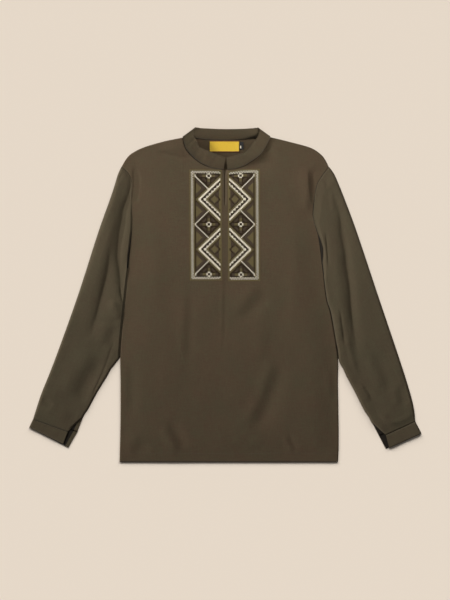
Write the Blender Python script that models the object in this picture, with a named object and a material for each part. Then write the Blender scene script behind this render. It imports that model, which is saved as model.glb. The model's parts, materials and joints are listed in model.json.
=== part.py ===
"""Long-sleeved shirt with a stand collar and a neck slit, laid out flat on its back.

+Z points up from the surface it lies on, +Y towards the collar and +X to the viewer's right.
The origin is on that surface, in the middle of the outline. All lengths are in metres.
Each piece of cloth is a wall: an outer and an inner face a cloth's thickness apart, closed
along every free edge.
"""

import math
from collections import namedtuple

import bmesh
import bpy
from mathutils import Vector

# Thicknesses and clearances
CLOTH = 0.0012          # one layer of shirting
COLLAR_CLOTH = 0.0016   # two layers with interlining
CUFF_CLOTH = 0.0015     # two layers with interlining
LABEL_CLOTH = 0.0007
SEAM_GAP = 0.0005       # between two pieces that are sewn edge to edge
LAYER_GAP = 0.0004      # between two layers that lie on each other

# Driving sizes
HEM_Y = -0.3797         # the straight hem of front and back
NECK_FRONT_Y = 0.2835   # where the front neckline meets the slit
CENTRE_X = -0.0007      # the centre front line
SLIT_END_Y = 0.2020     # the foot of the neck slit
SLIT_TOP = 0.0056       # width of the slit at the neckline
SLIT_NECKING = 0.0140   # the length in which it closes to a plain cut
SLIT_CUT = 0.0012       # width of the plain cut
FRONT_LOFT = 0.0020     # how far the middle of the front lies off the back
FRONT_HOLLOW = 0.0038   # the most that it may
SLEEVE_LOFT = 0.0026    # the same inside a sleeve
SLEEVE_HOLLOW = 0.0038
FRONT_EDGE = 0.060      # the front rises to its loft in this distance from its edges
SLEEVE_EDGE = 0.022     # the sleeve in this
SLIT_OPENING = 0.020    # the slit opens in this length from its foot

# How finely each piece is divided
SIDE_ROWS = 19
ARMHOLE_ROWS = 12
SLIT_ROWS = 4
SHOULDER_COLUMNS = 8
NECK_COLUMNS = 6
SLEEVE_ROWS = 20
SLEEVE_COLUMNS = 2 * ARMHOLE_ROWS
UNDER_COLUMNS = ARMHOLE_ROWS // 3
UNDERARM_FAN = 1.8      # the sleeve's sections fan out from the underarm
UNDERARM_FOLD = 0.4     # its inner fold starts that much narrower there
ARMHOLE_REACH = 7       # sections in which the armhole's curve fades out
VENT_ROWS = 1           # of the sleeve's rows, open at the inner edge
CUFF_ROWS = 2
CUFF_COLUMNS = 9
ROLL_STEPS = 4          # faces round a folded edge
COLLAR_STEPS = 3        # faces between two stations of the collar
COLLAR_ROWS = 4
CURVE_STEPS = 24        # steps in which a curve is measured
SHARP_ANGLE = 40        # degrees, for shading

Fold = namedtuple("Fold", "from_x from_y to_x to_y width rise")
Station = namedtuple("Station", "seam_x seam_y seam_z top_x top_y top_z")
Side = namedtuple("Side", "side armhole shoulder neck outer inner vent cuff folds")
Vent = namedtuple("Vent", "upper_x upper_y")
Cuff = namedtuple("Cuff", "outer_x outer_y upper_x upper_y lower_x lower_y")

# Outlines as rows of x, y: side seam from hem to underarm, armhole on to the shoulder point,
# shoulder on to the neck point, front neckline on to the slit. The sleeve's outer and inner
# edges run from the armhole to the cuff seam. The shirt lies a little askew, so left and
# right have their own.
LEFT = Side(
    side=((-0.2398, HEM_Y), (-0.2378, -0.290), (-0.2376, -0.200), (-0.2378, -0.135),
          (-0.2301, -0.046), (-0.2244, 0.005), (-0.2190, 0.0595)),
    armhole=((-0.2190, 0.0595), (-0.2148, 0.105), (-0.2114, 0.155), (-0.2112, 0.195),
             (-0.2125, 0.230), (-0.2112, 0.256), (-0.2195, 0.276), (-0.2355, 0.2899)),
    shoulder=((-0.2355, 0.2899), (-0.2255, 0.3069), (-0.2130, 0.3200), (-0.1856, 0.3341),
              (-0.1393, 0.3478), (-0.0975, 0.3564)),
    neck=((-0.0975, 0.3564), (-0.0952, 0.3432), (-0.0890, 0.3287), (-0.0764, 0.3142),
          (-0.0619, 0.3023), (-0.0446, 0.2922), (-0.0244, 0.2857), (-0.0040, NECK_FRONT_Y)),
    outer=((-0.2355, 0.2899), (-0.2432, 0.2728), (-0.2500, 0.2502), (-0.2621, 0.2138),
           (-0.2879, 0.1412), (-0.3347, -0.0041), (-0.3869, -0.1494), (-0.4158, -0.2220),
           (-0.4280, -0.2583), (-0.4355, -0.2822)),
    inner=((-0.2190, 0.0595), (-0.2248, 0.005), (-0.2306, -0.046), (-0.2383, -0.135),
           (-0.2450, -0.1510), (-0.2578, -0.1675), (-0.2680, -0.1857), (-0.2902, -0.2220),
           (-0.3098, -0.2583), (-0.3213, -0.2765), (-0.3354, -0.3117)),
    vent=Vent(upper_x=-0.3570, upper_y=-0.3105),
    cuff=Cuff(outer_x=-0.4450, outer_y=-0.3010, upper_x=-0.3682, upper_y=-0.3388,
              lower_x=-0.3560, lower_y=-0.3469),
    folds=(
        Fold(-0.2200, 0.2650, -0.2410, 0.1580, 0.0130, -0.0022),
        Fold(-0.2410, 0.1580, -0.2750, -0.0090, 0.0110, -0.0026),
        Fold(-0.2750, -0.0090, -0.3040, -0.0930, 0.0120, -0.0020),
        Fold(-0.2650, 0.1500, -0.3150, -0.0300, 0.0180, 0.0012),
        Fold(-0.2345, 0.0450, -0.2345, -0.0400, 0.0080, -0.0012),
        Fold(-0.2500, -0.0100, -0.2600, -0.0600, 0.0100, 0.0012),
        Fold(-0.3230, -0.1500, -0.3620, -0.2420, 0.0200, -0.0020),
        Fold(-0.4280, -0.2330, -0.4060, -0.2530, 0.0080, -0.0010),
    ),
)
RIGHT = Side(
    side=((0.2560, HEM_Y), (0.2575, -0.325), (0.2558, -0.200), (0.2550, -0.140),
          (0.2394, -0.046), (0.2296, -0.012), (0.2224, 0.0436)),
    armhole=((0.2224, 0.0436), (0.2188, 0.073), (0.2115, 0.128), (0.2015, 0.166),
             (0.1985, 0.190), (0.2069, 0.243), (0.2192, 0.268), (0.2355, 0.2887)),
    shoulder=((0.2355, 0.2887), (0.2264, 0.3069), (0.2151, 0.3200), (0.1919, 0.3341),
              (0.1422, 0.3478), (0.1032, 0.3573)),
    neck=((0.1032, 0.3573), (0.0968, 0.3430), (0.0871, 0.3257), (0.0755, 0.3126),
          (0.0596, 0.3023), (0.0423, 0.2917), (0.0235, 0.2857), (0.0044, NECK_FRONT_Y)),
    outer=((0.2355, 0.2887), (0.2464, 0.2728), (0.2564, 0.2502), (0.2709, 0.2138),
           (0.2977, 0.1412), (0.3463, -0.0041), (0.3953, -0.1494), (0.4180, -0.2220),
           (0.4269, -0.2583), (0.4303, -0.2880)),
    inner=((0.2224, 0.0436), (0.2300, -0.012), (0.2402, -0.046), (0.2558, -0.140),
           (0.2677, -0.1675), (0.2761, -0.1857), (0.2954, -0.2220), (0.3136, -0.2583),
           (0.3254, -0.2765), (0.3490, -0.3208)),
    vent=Vent(upper_x=0.3638, upper_y=-0.3185),
    cuff=Cuff(outer_x=0.4448, outer_y=-0.3152, upper_x=0.3722, upper_y=-0.3480,
              lower_x=0.3645, lower_y=-0.3497),
    folds=(
        Fold(0.2350, 0.2450, 0.2650, 0.1300, 0.0100, -0.0020),
        Fold(0.2650, 0.1300, 0.2850, -0.0400, 0.0110, -0.0024),
        Fold(0.2850, -0.0400, 0.3040, -0.1900, 0.0100, -0.0020),
        Fold(0.2500, 0.1000, 0.2700, -0.0600, 0.0090, 0.0012),
        Fold(0.2950, 0.1000, 0.3250, -0.1200, 0.0200, 0.0012),
        Fold(0.3800, -0.2050, 0.3950, -0.2600, 0.0090, -0.0020),
        Fold(0.3300, -0.2250, 0.3480, -0.2650, 0.0080, -0.0014),
        Fold(0.3700, -0.2800, 0.4150, -0.2650, 0.0120, 0.0012),
    ),
)

# The back neckline between the two neck points, from right to left
BACK_NECK = ((0.0700, 0.3545), (0.0350, 0.3514), (0.0000, 0.3506), (-0.0350, 0.3512),
             (-0.0650, 0.3540))

# The front's largest troughs and ridges
FRONT_FOLDS = (
    Fold(0.0150, -0.0520, 0.0910, 0.0160, 0.0140, -0.0014),
    Fold(0.0560, -0.2860, 0.1150, -0.1330, 0.0170, -0.0016),
    Fold(-0.1320, -0.2830, -0.0960, -0.3450, 0.0140, -0.0014),
    Fold(0.1410, -0.3260, 0.1580, -0.3540, 0.0090, -0.0012),
    Fold(-0.1500, 0.3250, -0.0770, 0.3080, 0.0080, -0.0012),
    Fold(0.0490, 0.2980, 0.1220, 0.3150, 0.0080, -0.0012),
    Fold(0.1880, 0.2930, 0.1880, 0.1890, 0.0100, -0.0014),
    Fold(CENTRE_X, 0.1900, -0.0070, -0.1150, 0.0050, -0.0008),
    Fold(-0.1500, -0.0600, -0.1150, -0.2300, 0.0300, 0.0010),
    Fold(0.0200, -0.1400, 0.0900, -0.0200, 0.0250, 0.0010),
)

# The collar band from its left end round the back to its right end: where it is sewn on and
# where its top edge stands. It folds back on itself at the two neck points.
COLLAR = (
    Station(-0.0037, 0.2850, 0.0033, 0.0001, 0.3105, 0.0270),
    Station(-0.0244, 0.2870, 0.0033, -0.0140, 0.3162, 0.0240),
    Station(-0.0442, 0.2935, 0.0034, -0.0373, 0.3251, 0.0205),
    Station(-0.0612, 0.3036, 0.0035, -0.0519, 0.3314, 0.0220),
    Station(-0.0754, 0.3154, 0.0037, -0.0612, 0.3370, 0.0250),
    Station(-0.0877, 0.3298, 0.0039, -0.0648, 0.3489, 0.0210),
    Station(-0.0935, 0.3436, 0.0044, -0.0705, 0.3590, 0.0185),
    Station(-0.0956, 0.3540, 0.0047, -0.0722, 0.3712, 0.0170),
    Station(-0.0960, 0.3582, 0.0031, -0.0680, 0.3785, 0.0128),
    Station(-0.0925, 0.3582, 0.0014, -0.0630, 0.3787, 0.0120),
    Station(-0.0700, 0.3559, 0.0011, -0.0545, 0.3772, 0.0205),
    Station(-0.0400, 0.3531, 0.0011, -0.0330, 0.3752, 0.0270),
    Station(0.0000, 0.3519, 0.0011, 0.0060, 0.3743, 0.0290),
    Station(0.0420, 0.3533, 0.0011, 0.0440, 0.3752, 0.0270),
    Station(0.0750, 0.3562, 0.0011, 0.0605, 0.3768, 0.0205),
    Station(0.0980, 0.3590, 0.0014, 0.0695, 0.3780, 0.0120),
    Station(0.1015, 0.3590, 0.0031, 0.0750, 0.3778, 0.0128),
    Station(0.1010, 0.3548, 0.0047, 0.0770, 0.3707, 0.0170),
    Station(0.0955, 0.3436, 0.0044, 0.0720, 0.3560, 0.0185),
    Station(0.0860, 0.3268, 0.0039, 0.0620, 0.3445, 0.0205),
    Station(0.0746, 0.3138, 0.0037, 0.0545, 0.3320, 0.0250),
    Station(0.0590, 0.3036, 0.0035, 0.0450, 0.3235, 0.0280),
    Station(0.0420, 0.2930, 0.0034, 0.0310, 0.3175, 0.0270),
    Station(0.0235, 0.2870, 0.0033, 0.0162, 0.3142, 0.0250),
    Station(0.0044, 0.2850, 0.0033, 0.0024, 0.3105, 0.0270),
)

# The two woven tabs inside the back neck: left, right, bottom, top
LABEL_BOX = (-0.0351, 0.0314, 0.3235, 0.3496)
TAB_BOX = (0.0323, 0.0414, 0.3296, 0.3466)

MATERIALS = {
    "shirting": ((0.084, 0.062, 0.036), 0.85),
    "collar_cloth": ((0.078, 0.057, 0.032), 0.85),
    "label_weave": ((0.78, 0.53, 0.03), 0.7),
    "tab_weave": ((0.01, 0.01, 0.01), 0.7),
}


def clear_scene():
    for old in list(bpy.data.objects):
        bpy.data.objects.remove(old, do_unlink=True)


def material(name):
    colour, roughness = MATERIALS[name]
    made = bpy.data.materials.get(name) or bpy.data.materials.new(name)
    made.use_nodes = True
    shader = made.node_tree.nodes["Principled BSDF"]
    shader.inputs["Base Color"].default_value = (*colour, 1.0)
    shader.inputs["Roughness"].default_value = roughness
    shader.inputs["Metallic"].default_value = 0.0
    return made


def curve_point(p0, p1, p2, p3, t):
    """A point on the smooth curve between p1 and p2, with p0 and p3 as neighbours."""
    return 0.5 * ((2 * p1) + (p2 - p0) * t + (2 * p0 - 5 * p1 + 4 * p2 - p3) * t ** 2
                  + (3 * p1 - p0 - 3 * p2 + p3) * t ** 3)


def smooth_through(rows, steps):
    """A smooth curve through every row, with so many steps between two of them."""
    points = [Vector(row) for row in rows]
    ends = [2 * points[0] - points[1]] + points + [2 * points[-1] - points[-2]]
    curve = []
    for i in range(len(points) - 1):
        for step in range(steps):
            curve.append(curve_point(*ends[i:i + 4], step / steps))
    curve.append(points[-1])
    return curve


def evenly(rows, count, growth=1.0):
    """The smooth curve through the rows, cut into count lengths, equal or growing."""
    fine = smooth_through(rows, CURVE_STEPS)
    lengths = [0.0]
    for a, b in zip(fine, fine[1:]):
        lengths.append(lengths[-1] + (b - a).length)
    points = []
    k = 0
    for i in range(count + 1):
        wanted = lengths[-1] * (i / count) ** growth
        while k < len(fine) - 2 and lengths[k + 1] < wanted:
            k += 1
        span = lengths[k + 1] - lengths[k]
        points.append(fine[k].lerp(fine[k + 1], (wanted - lengths[k]) / span))
    return points


def ramp(value, length):
    """0 at value 0, 1 from value = length, with soft ends."""
    t = min(max(value / length, 0.0), 1.0)
    return t * t * (3 - 2 * t)


def fold_height(x, y, folds):
    """What the folds add to the height of a layer at x, y."""
    height = 0.0
    for fold in folds:
        start = Vector((fold.from_x, fold.from_y))
        along = Vector((fold.to_x, fold.to_y)) - start
        length = along.length
        along.normalize()
        reach = Vector((x, y)) - start
        run = reach.dot(along)
        off = reach.cross(along)
        fade = ramp(run + fold.width, 2 * fold.width) * ramp(length + fold.width - run, 2 * fold.width)
        height += fold.rise * math.exp(-(off / fold.width) ** 2) * fade
    return height


def wall_object(name, cells, places, look):
    """A closed wall from quads of point names. places gives each point's outer and inner place."""
    mesh = bpy.data.meshes.new(name)
    bm = bmesh.new()
    used = sorted({key for cell in cells for key in cell})
    outer = {key: bm.verts.new(places[key][0]) for key in used}
    inner = {key: bm.verts.new(places[key][1]) for key in used}
    edges = {(a, b) for cell in cells for a, b in zip(cell, cell[1:] + cell[:1])}
    for cell in cells:
        bm.faces.new([outer[key] for key in cell])
        bm.faces.new([inner[key] for key in reversed(cell)])
    for a, b in edges:
        if (b, a) not in edges:
            bm.faces.new([outer[b], outer[a], inner[a], inner[b]])
    bmesh.ops.recalc_face_normals(bm, faces=bm.faces[:])
    bmesh.ops.triangulate(bm, faces=bm.faces[:])
    bm.to_mesh(mesh)
    bm.free()
    mesh.shade_smooth()
    mesh.set_sharp_from_angle(angle=math.radians(SHARP_ANGLE))
    made = bpy.data.objects.new(name, mesh)
    made.data.materials.append(material(look))
    bpy.context.collection.objects.link(made)
    return made


def patch(bottom, top, left, right):
    """Points spread between four border curves, as rows from bottom to top.

    Where a side border departs from a straight line, the points near it follow.
    """
    rows = []
    last_row = len(left) - 1
    last_column = len(bottom) - 1
    for j in range(last_row + 1):
        v = j / last_row
        left_departs = left[j] - bottom[0].lerp(top[0], v)
        right_departs = right[j] - bottom[-1].lerp(top[-1], v)
        row = []
        for i in range(last_column + 1):
            u = i / last_column
            middle = bottom[i].lerp(top[i], v)
            row.append(middle + left_departs * (1 - u) ** 3 + right_departs * u ** 3)
        rows.append(row)
    return rows


def slit_half_width(y):
    """Half the width of the neck slit at height y."""
    plain = SLIT_CUT * ramp(y - SLIT_END_Y, SLIT_OPENING)
    mouth = (SLIT_TOP - SLIT_CUT) * ramp(y - (NECK_FRONT_Y - SLIT_NECKING), SLIT_NECKING)
    return (plain + mouth) / 2


def centre_line(direction):
    """The centre front from hem to neck, on one side of the slit."""
    lower = SIDE_ROWS + ARMHOLE_ROWS - SLIT_ROWS
    points = []
    for j in range(lower + 1):
        y = HEM_Y + (SLIT_END_Y - HEM_Y) * j / lower
        points.append(Vector((CENTRE_X, y)))
    for j in range(1, SLIT_ROWS + 1):
        y = SLIT_END_Y + (NECK_FRONT_Y - SLIT_END_Y) * j / SLIT_ROWS
        points.append(Vector((CENTRE_X + direction * slit_half_width(y), y)))
    return points


def front_half(side, direction):
    """The plan of half the front, as rows from hem to neckline, outer edge first."""
    edge = evenly(side.side, SIDE_ROWS) + evenly(side.armhole, ARMHOLE_ROWS)[1:]
    middle = centre_line(direction)
    neck = evenly(side.neck, NECK_COLUMNS)
    neck[-1] = middle[-1]
    crown = evenly(side.shoulder, SHOULDER_COLUMNS) + neck[1:]
    hem = [edge[0].lerp(middle[0], i / (len(crown) - 1)) for i in range(len(crown))]
    return patch(hem, crown, edge, middle)


def front_under(x, y, edge_distance):
    """Height of the front's underside: near the back at its edges, lofted in between."""
    lowest = CLOTH + LAYER_GAP
    loft = ramp(edge_distance, FRONT_EDGE) * (FRONT_LOFT + fold_height(x, y, FRONT_FOLDS))
    return lowest + min(max(loft, 0.0), FRONT_HOLLOW - LAYER_GAP)


def make_front():
    places = {}
    cells = []
    last_row = SIDE_ROWS + ARMHOLE_ROWS
    slit_row = last_row - SLIT_ROWS
    last_column = SHOULDER_COLUMNS + NECK_COLUMNS
    for half, (side, direction) in enumerate(((LEFT, -1), (RIGHT, 1))):
        rows = front_half(side, direction)
        borders = rows[0] + rows[-1] + [row[0] for row in rows]

        def key(j, i):
            """A point's name: both halves share the centre line below the slit."""
            shared = i == last_column and j <= slit_row
            return (0 if shared else half, j, i)

        for j, row in enumerate(rows):
            for i, point in enumerate(row):
                distance = min((point - border).length for border in borders)
                under = front_under(point.x, point.y, distance)
                places[key(j, i)] = (Vector((*point, under + CLOTH)), Vector((*point, under)))
        for j in range(last_row):
            for i in range(last_column):
                cell = (key(j, i), key(j, i + 1), key(j + 1, i + 1), key(j + 1, i))
                cells.append(cell if half == 0 else cell[::-1])
    return wall_object("front", cells, places, "shirting")


def back_outline():
    """Hem, right side and shoulder, back neckline, left shoulder and side, as one loop."""
    step = ARMHOLE_ROWS // UNDER_COLUMNS
    right = evenly(RIGHT.side, SIDE_ROWS)[:-1] + evenly(RIGHT.armhole, ARMHOLE_ROWS)[:-1:step]
    right += evenly(RIGHT.shoulder, SHOULDER_COLUMNS)
    left = evenly(LEFT.side, SIDE_ROWS)[:-1] + evenly(LEFT.armhole, ARMHOLE_ROWS)[:-1:step]
    left += evenly(LEFT.shoulder, SHOULDER_COLUMNS)
    neckline = (right[-1][:], *BACK_NECK, left[-1][:])
    return right + evenly(neckline, 2 * NECK_COLUMNS)[1:-1] + left[::-1]


def make_back():
    outline = back_outline()
    mesh = bpy.data.meshes.new("back")
    bm = bmesh.new()
    face = bm.faces.new([bm.verts.new((point.x, point.y, 0.0)) for point in outline])
    raised = bmesh.ops.extrude_face_region(bm, geom=[face])["geom"]
    verts = [item for item in raised if isinstance(item, bmesh.types.BMVert)]
    bmesh.ops.translate(bm, verts=verts, vec=(0.0, 0.0, CLOTH))
    bmesh.ops.recalc_face_normals(bm, faces=bm.faces[:])
    bm.to_mesh(mesh)
    bm.free()
    made = bpy.data.objects.new("back", mesh)
    made.data.materials.append(material("shirting"))
    bpy.context.collection.objects.link(made)
    return made


def roll_place(edge, outward, thickness, turn):
    """Outer and inner place on a folded edge. turn goes from 0, below, to 1, on top."""
    radius = thickness + LAYER_GAP / 2
    centre = edge - outward * radius
    angle = math.pi * (turn - 0.5)
    places = []
    for reach in (radius, LAYER_GAP / 2):
        flat = centre + outward * (reach * math.cos(angle))
        places.append(Vector((flat.x, flat.y, radius + reach * math.sin(angle))))
    return places[0], places[1]


def layer_plan(outer_edge, inner_edge, bulge, count, radius, inner_turn):
    """The plan of one layer of a section, from the outer fold to the inner one.

    inner_turn is the way the inner fold faces, shorter than 1 where the fold is pressed
    narrower, or None where the vent leaves it open.
    """
    plan = [outer_edge.lerp(inner_edge, i / count) + bulge(i / count) for i in range(count + 1)]
    plan[0] = outer_edge + (plan[1] - plan[0]).normalized() * radius
    if inner_turn:
        plan[-1] = inner_edge - inner_turn * radius
    return plan


def ring_of_places(edges, bulge, top_under, thickness, counts, inner_turn):
    """One section of a flattened tube: top layer, inner fold, bottom layer, outer fold.

    edges are the outer edge and the inner edges of the upper and the lower layer. bulge moves
    a point of a layer lengthwise, as the armhole needs.
    """
    outer_edge, upper_edge, lower_edge = edges
    radius = thickness + LAYER_GAP / 2
    upper = layer_plan(outer_edge, upper_edge, bulge, counts[0], radius, inner_turn)
    lower = layer_plan(outer_edge, lower_edge, bulge, counts[1], radius, inner_turn)
    places = []
    for flat in upper:
        under = top_under(flat.x, flat.y, (flat - outer_edge).length, (flat - upper_edge).length)
        places.append((Vector((*flat, under + thickness)), Vector((*flat, under))))
    for k in range(ROLL_STEPS - 1, 0, -1):
        turn = inner_turn or Vector((1.0, 0.0))
        places.append(roll_place(lower_edge, turn, thickness, k / ROLL_STEPS))
    for flat in reversed(lower):
        places.append((Vector((*flat, 0.0)), Vector((*flat, thickness))))
    outwards = (outer_edge - upper[0]).normalized()
    for k in range(1, ROLL_STEPS):
        places.append(roll_place(outer_edge, outwards, thickness, k / ROLL_STEPS))
    return places


def tube_object(name, rings, open_from, top_count, look):
    """A wall from sections of equal length. From row open_from on, the inner fold is left out."""
    places = {(j, i): place for j, ring in enumerate(rings) for i, place in enumerate(ring)}
    count = len(rings[0])
    vent_columns = range(top_count, top_count + ROLL_STEPS)
    cells = []
    for j in range(len(rings) - 1):
        for i in range(count):
            if j >= open_from and i in vent_columns:
                continue
            n = (i + 1) % count
            cells.append(((j, i), (j, n), (j + 1, n), (j + 1, i)))
    return wall_object(name, cells, places, look)


def armhole_bulge(side):
    """How far the armhole departs from the straight line from shoulder point to underarm."""
    points = evenly(side.armhole, ARMHOLE_ROWS)[::-1]

    def depart(t):
        """The same, at a share of the way."""
        k = min(int(t * ARMHOLE_ROWS), ARMHOLE_ROWS - 1)
        place = points[k].lerp(points[k + 1], t * ARMHOLE_ROWS - k)
        return place - points[0].lerp(points[-1], t)

    return depart


def make_sleeve(name, side, outward):
    shift = Vector((outward * SEAM_GAP, 0.0))
    outer = [point + shift for point in evenly(side.outer, SLEEVE_ROWS)]
    inner = [point + shift for point in evenly(side.inner, SLEEVE_ROWS, UNDERARM_FAN)]
    depart = armhole_bulge(side)
    first_open = SLEEVE_ROWS - VENT_ROWS
    vent = Vector((side.vent.upper_x, side.vent.upper_y))

    def top_under(x, y, from_outer, from_inner):
        """Height of the upper layer's underside, lofted away from both folds."""
        loft = ramp(min(from_outer, from_inner), SLEEVE_EDGE)
        loft *= SLEEVE_LOFT + fold_height(x, y, side.folds)
        return CLOTH + LAYER_GAP + min(max(loft, 0.0), SLEEVE_HOLLOW - LAYER_GAP)

    rings = []
    for j in range(SLEEVE_ROWS + 1):
        fade = 1 - ramp(j, ARMHOLE_REACH)
        opening = max(j - first_open, 0) / VENT_ROWS
        upper = inner[j].lerp(inner[j] + (vent - inner[-1]), opening)
        run = inner[min(j + 1, SLEEVE_ROWS)] - inner[max(j - 1, 0)]
        turn = Vector((-outward * abs(run.y), outward * run.x * math.copysign(1, run.y))).normalized()
        turn *= min(UNDERARM_FOLD + j * UNDERARM_FOLD / 2, 1.0)
        rings.append(ring_of_places((outer[j], upper, inner[j]), lambda t: depart(t) * fade,
                                    top_under, CLOTH, (SLEEVE_COLUMNS, UNDER_COLUMNS),
                                    turn if j <= first_open else None))
    return tube_object(name, rings, first_open, SLEEVE_COLUMNS, "shirting")


def make_cuff(name, side, outward):
    shift = Vector((outward * SEAM_GAP, 0.0))
    seam = [Vector(side.outer[-1]) + shift, Vector(side.vent) + shift, Vector(side.inner[-1]) + shift]
    cuff = side.cuff
    hem = [Vector((cuff.outer_x, cuff.outer_y)), Vector((cuff.upper_x, cuff.upper_y)),
           Vector((cuff.lower_x, cuff.lower_y))]

    def top_under(*place):
        """The cuff's two layers lie flat on each other, wherever the place is."""
        return CUFF_CLOTH + LAYER_GAP

    rings = []
    for j in range(CUFF_ROWS + 1):
        edges = []
        for a, b in zip(seam, hem):
            start = a + (b - a).normalized() * SEAM_GAP
            edges.append(start.lerp(b, j / CUFF_ROWS))
        rings.append(ring_of_places(edges, lambda t: Vector((0.0, 0.0)), top_under, CUFF_CLOTH,
                                    (CUFF_COLUMNS, UNDER_COLUMNS), None))
    return tube_object(name, rings, 0, CUFF_COLUMNS, "shirting")


def make_collar():
    seam = smooth_through([row[:3] for row in COLLAR], COLLAR_STEPS)
    top = smooth_through([row[3:] for row in COLLAR], COLLAR_STEPS)
    last = len(seam) - 1
    middle = [[seam[i].lerp(top[i], k / COLLAR_ROWS) for k in range(COLLAR_ROWS + 1)]
              for i in range(last + 1)]
    places = {}
    for i in range(last + 1):
        for k in range(COLLAR_ROWS + 1):
            before = middle[max(i - 1, 0)][k]
            after = middle[min(i + 1, last)][k]
            upwards = top[i] - seam[i]
            normal = (after - before).cross(upwards).normalized()
            half = normal * COLLAR_CLOTH / 2
            places[(i, k)] = (middle[i][k] + half, middle[i][k] - half)
    cells = []
    for i in range(last):
        for k in range(COLLAR_ROWS):
            cells.append(((i, k), (i + 1, k), (i + 1, k + 1), (i, k + 1)))
    return wall_object("collar", cells, places, "collar_cloth")


def make_tab(name, box, look):
    """A thin woven rectangle on the inside of the back."""
    low_x, high_x, low_y, high_y = box
    mesh = bpy.data.meshes.new(name)
    bm = bmesh.new()
    bmesh.ops.create_cube(bm, size=1.0)
    bmesh.ops.scale(bm, verts=bm.verts[:], vec=(high_x - low_x, high_y - low_y, LABEL_CLOTH))
    centre = ((low_x + high_x) / 2, (low_y + high_y) / 2, CLOTH + LAYER_GAP + LABEL_CLOTH / 2)
    bm.to_mesh(mesh)
    bm.free()
    made = bpy.data.objects.new(name, mesh)
    made.location = centre
    made.data.materials.append(material(look))
    bpy.context.collection.objects.link(made)
    return made


def main():
    clear_scene()
    make_back()
    make_front()
    make_sleeve("sleeve_left", LEFT, -1)
    make_sleeve("sleeve_right", RIGHT, 1)
    make_cuff("cuff_left", LEFT, -1)
    make_cuff("cuff_right", RIGHT, 1)
    make_collar()
    make_tab("neck_label", LABEL_BOX, "label_weave")
    make_tab("size_tab", TAB_BOX, "tab_weave")


main()
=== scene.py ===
# %% [markdown]
# # An embroidered linen shirt, laid out flat
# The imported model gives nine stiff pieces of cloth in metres, with the surface that the shirt
# lies on at z = 0. This lesson dresses each of them: a fine shell of cloth takes the place of
# every plain wall, and the seams, the stitching and the cross-stitch are sewn on top.

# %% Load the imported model
import json
import math
from collections import namedtuple

import bpy
import numpy as np
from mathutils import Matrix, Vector, noise
from mathutils.bvhtree import BVHTree

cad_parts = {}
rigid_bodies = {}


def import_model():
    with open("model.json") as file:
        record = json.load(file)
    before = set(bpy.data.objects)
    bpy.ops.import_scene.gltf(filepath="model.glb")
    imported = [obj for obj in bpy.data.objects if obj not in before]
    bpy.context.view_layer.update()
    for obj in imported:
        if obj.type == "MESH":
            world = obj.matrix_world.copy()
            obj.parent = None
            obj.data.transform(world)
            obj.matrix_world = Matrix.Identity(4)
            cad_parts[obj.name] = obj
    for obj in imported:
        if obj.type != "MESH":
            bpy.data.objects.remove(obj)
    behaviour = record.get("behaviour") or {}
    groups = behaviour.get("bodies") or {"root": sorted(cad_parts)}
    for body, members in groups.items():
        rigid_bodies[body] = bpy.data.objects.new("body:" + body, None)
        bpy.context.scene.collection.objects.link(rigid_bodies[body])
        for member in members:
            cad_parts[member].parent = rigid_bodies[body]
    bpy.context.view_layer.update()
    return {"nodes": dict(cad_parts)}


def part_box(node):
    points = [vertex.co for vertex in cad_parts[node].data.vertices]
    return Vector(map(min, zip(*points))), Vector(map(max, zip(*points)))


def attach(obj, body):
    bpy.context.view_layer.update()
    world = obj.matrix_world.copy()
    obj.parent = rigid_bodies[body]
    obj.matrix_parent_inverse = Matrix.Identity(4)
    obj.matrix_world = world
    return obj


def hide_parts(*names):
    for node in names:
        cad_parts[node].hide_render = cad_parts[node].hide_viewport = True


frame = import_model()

MM = 0.001
print("solids:", sorted(frame["nodes"]))

# %% [markdown]
# ## The camera
# A flat lay is photographed from straight above. A camera far away with a long lens keeps the
# sleeves at the edge of the picture as undistorted as the chest. The lens follows from the
# stretch of floor that fills the picture's long side, which is its height here.

# %% Make the camera
VIEW_HEIGHT = 1.362          # the stretch of floor from the picture's lower to its upper edge
VIEW_CENTRE = (-0.0006, -0.0120)
CAMERA_HEIGHT = 9.0
SENSOR = 0.036 * 1000        # Blender gives sensors and lenses in millimetres


def add_object(name, data):
    made = bpy.data.objects.new(name, data)
    bpy.context.scene.collection.objects.link(made)
    return made


def make_camera():
    data = bpy.data.cameras.new("camera")
    data.sensor_fit = "AUTO"
    data.sensor_width = SENSOR
    data.lens = SENSOR * CAMERA_HEIGHT / VIEW_HEIGHT
    data.clip_end = 4 * CAMERA_HEIGHT
    camera = add_object("camera", data)
    camera.location = (*VIEW_CENTRE, CAMERA_HEIGHT)
    bpy.context.scene.camera = camera
    return camera


print("lens in mm:", round(make_camera().data.lens, 1))

# %% [markdown]
# ## Curves through a few given points
# A pattern cutter draws an armhole through a handful of marks. This helper does the same: a
# smooth curve runs through every mark, and is then cut into equal lengths. With growth above 1
# the lengths start short and grow, which is how the sleeve's rows fan out from the underarm.

# %% Smooth lines
CURVE_STEPS = 24


def with_end_marks(rows):
    """One more mark beyond each end, which gives the curve its direction there."""
    return np.vstack([2 * rows[0] - rows[1], rows, 2 * rows[-1] - rows[-2]])


def between_marks(p0, p1, p2, p3, t):
    """The curve from p1 to p2, where t runs from 0 to 1."""
    return 0.5 * (2 * p1 + (p2 - p0) * t + (2 * p0 - 5 * p1 + 4 * p2 - p3) * t ** 2
                  + (3 * p1 - p0 - 3 * p2 + p3) * t ** 3)


def reach_along(line):
    """How far along a line each of its points is."""
    return np.concatenate([[0.0], np.cumsum(np.linalg.norm(np.diff(line, axis=0), axis=1))])


def at_reach(wanted, reach, rows):
    """The rows of a table, read off at wanted places between those in reach."""
    return np.column_stack([np.interp(wanted, reach, column) for column in rows.T])


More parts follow.
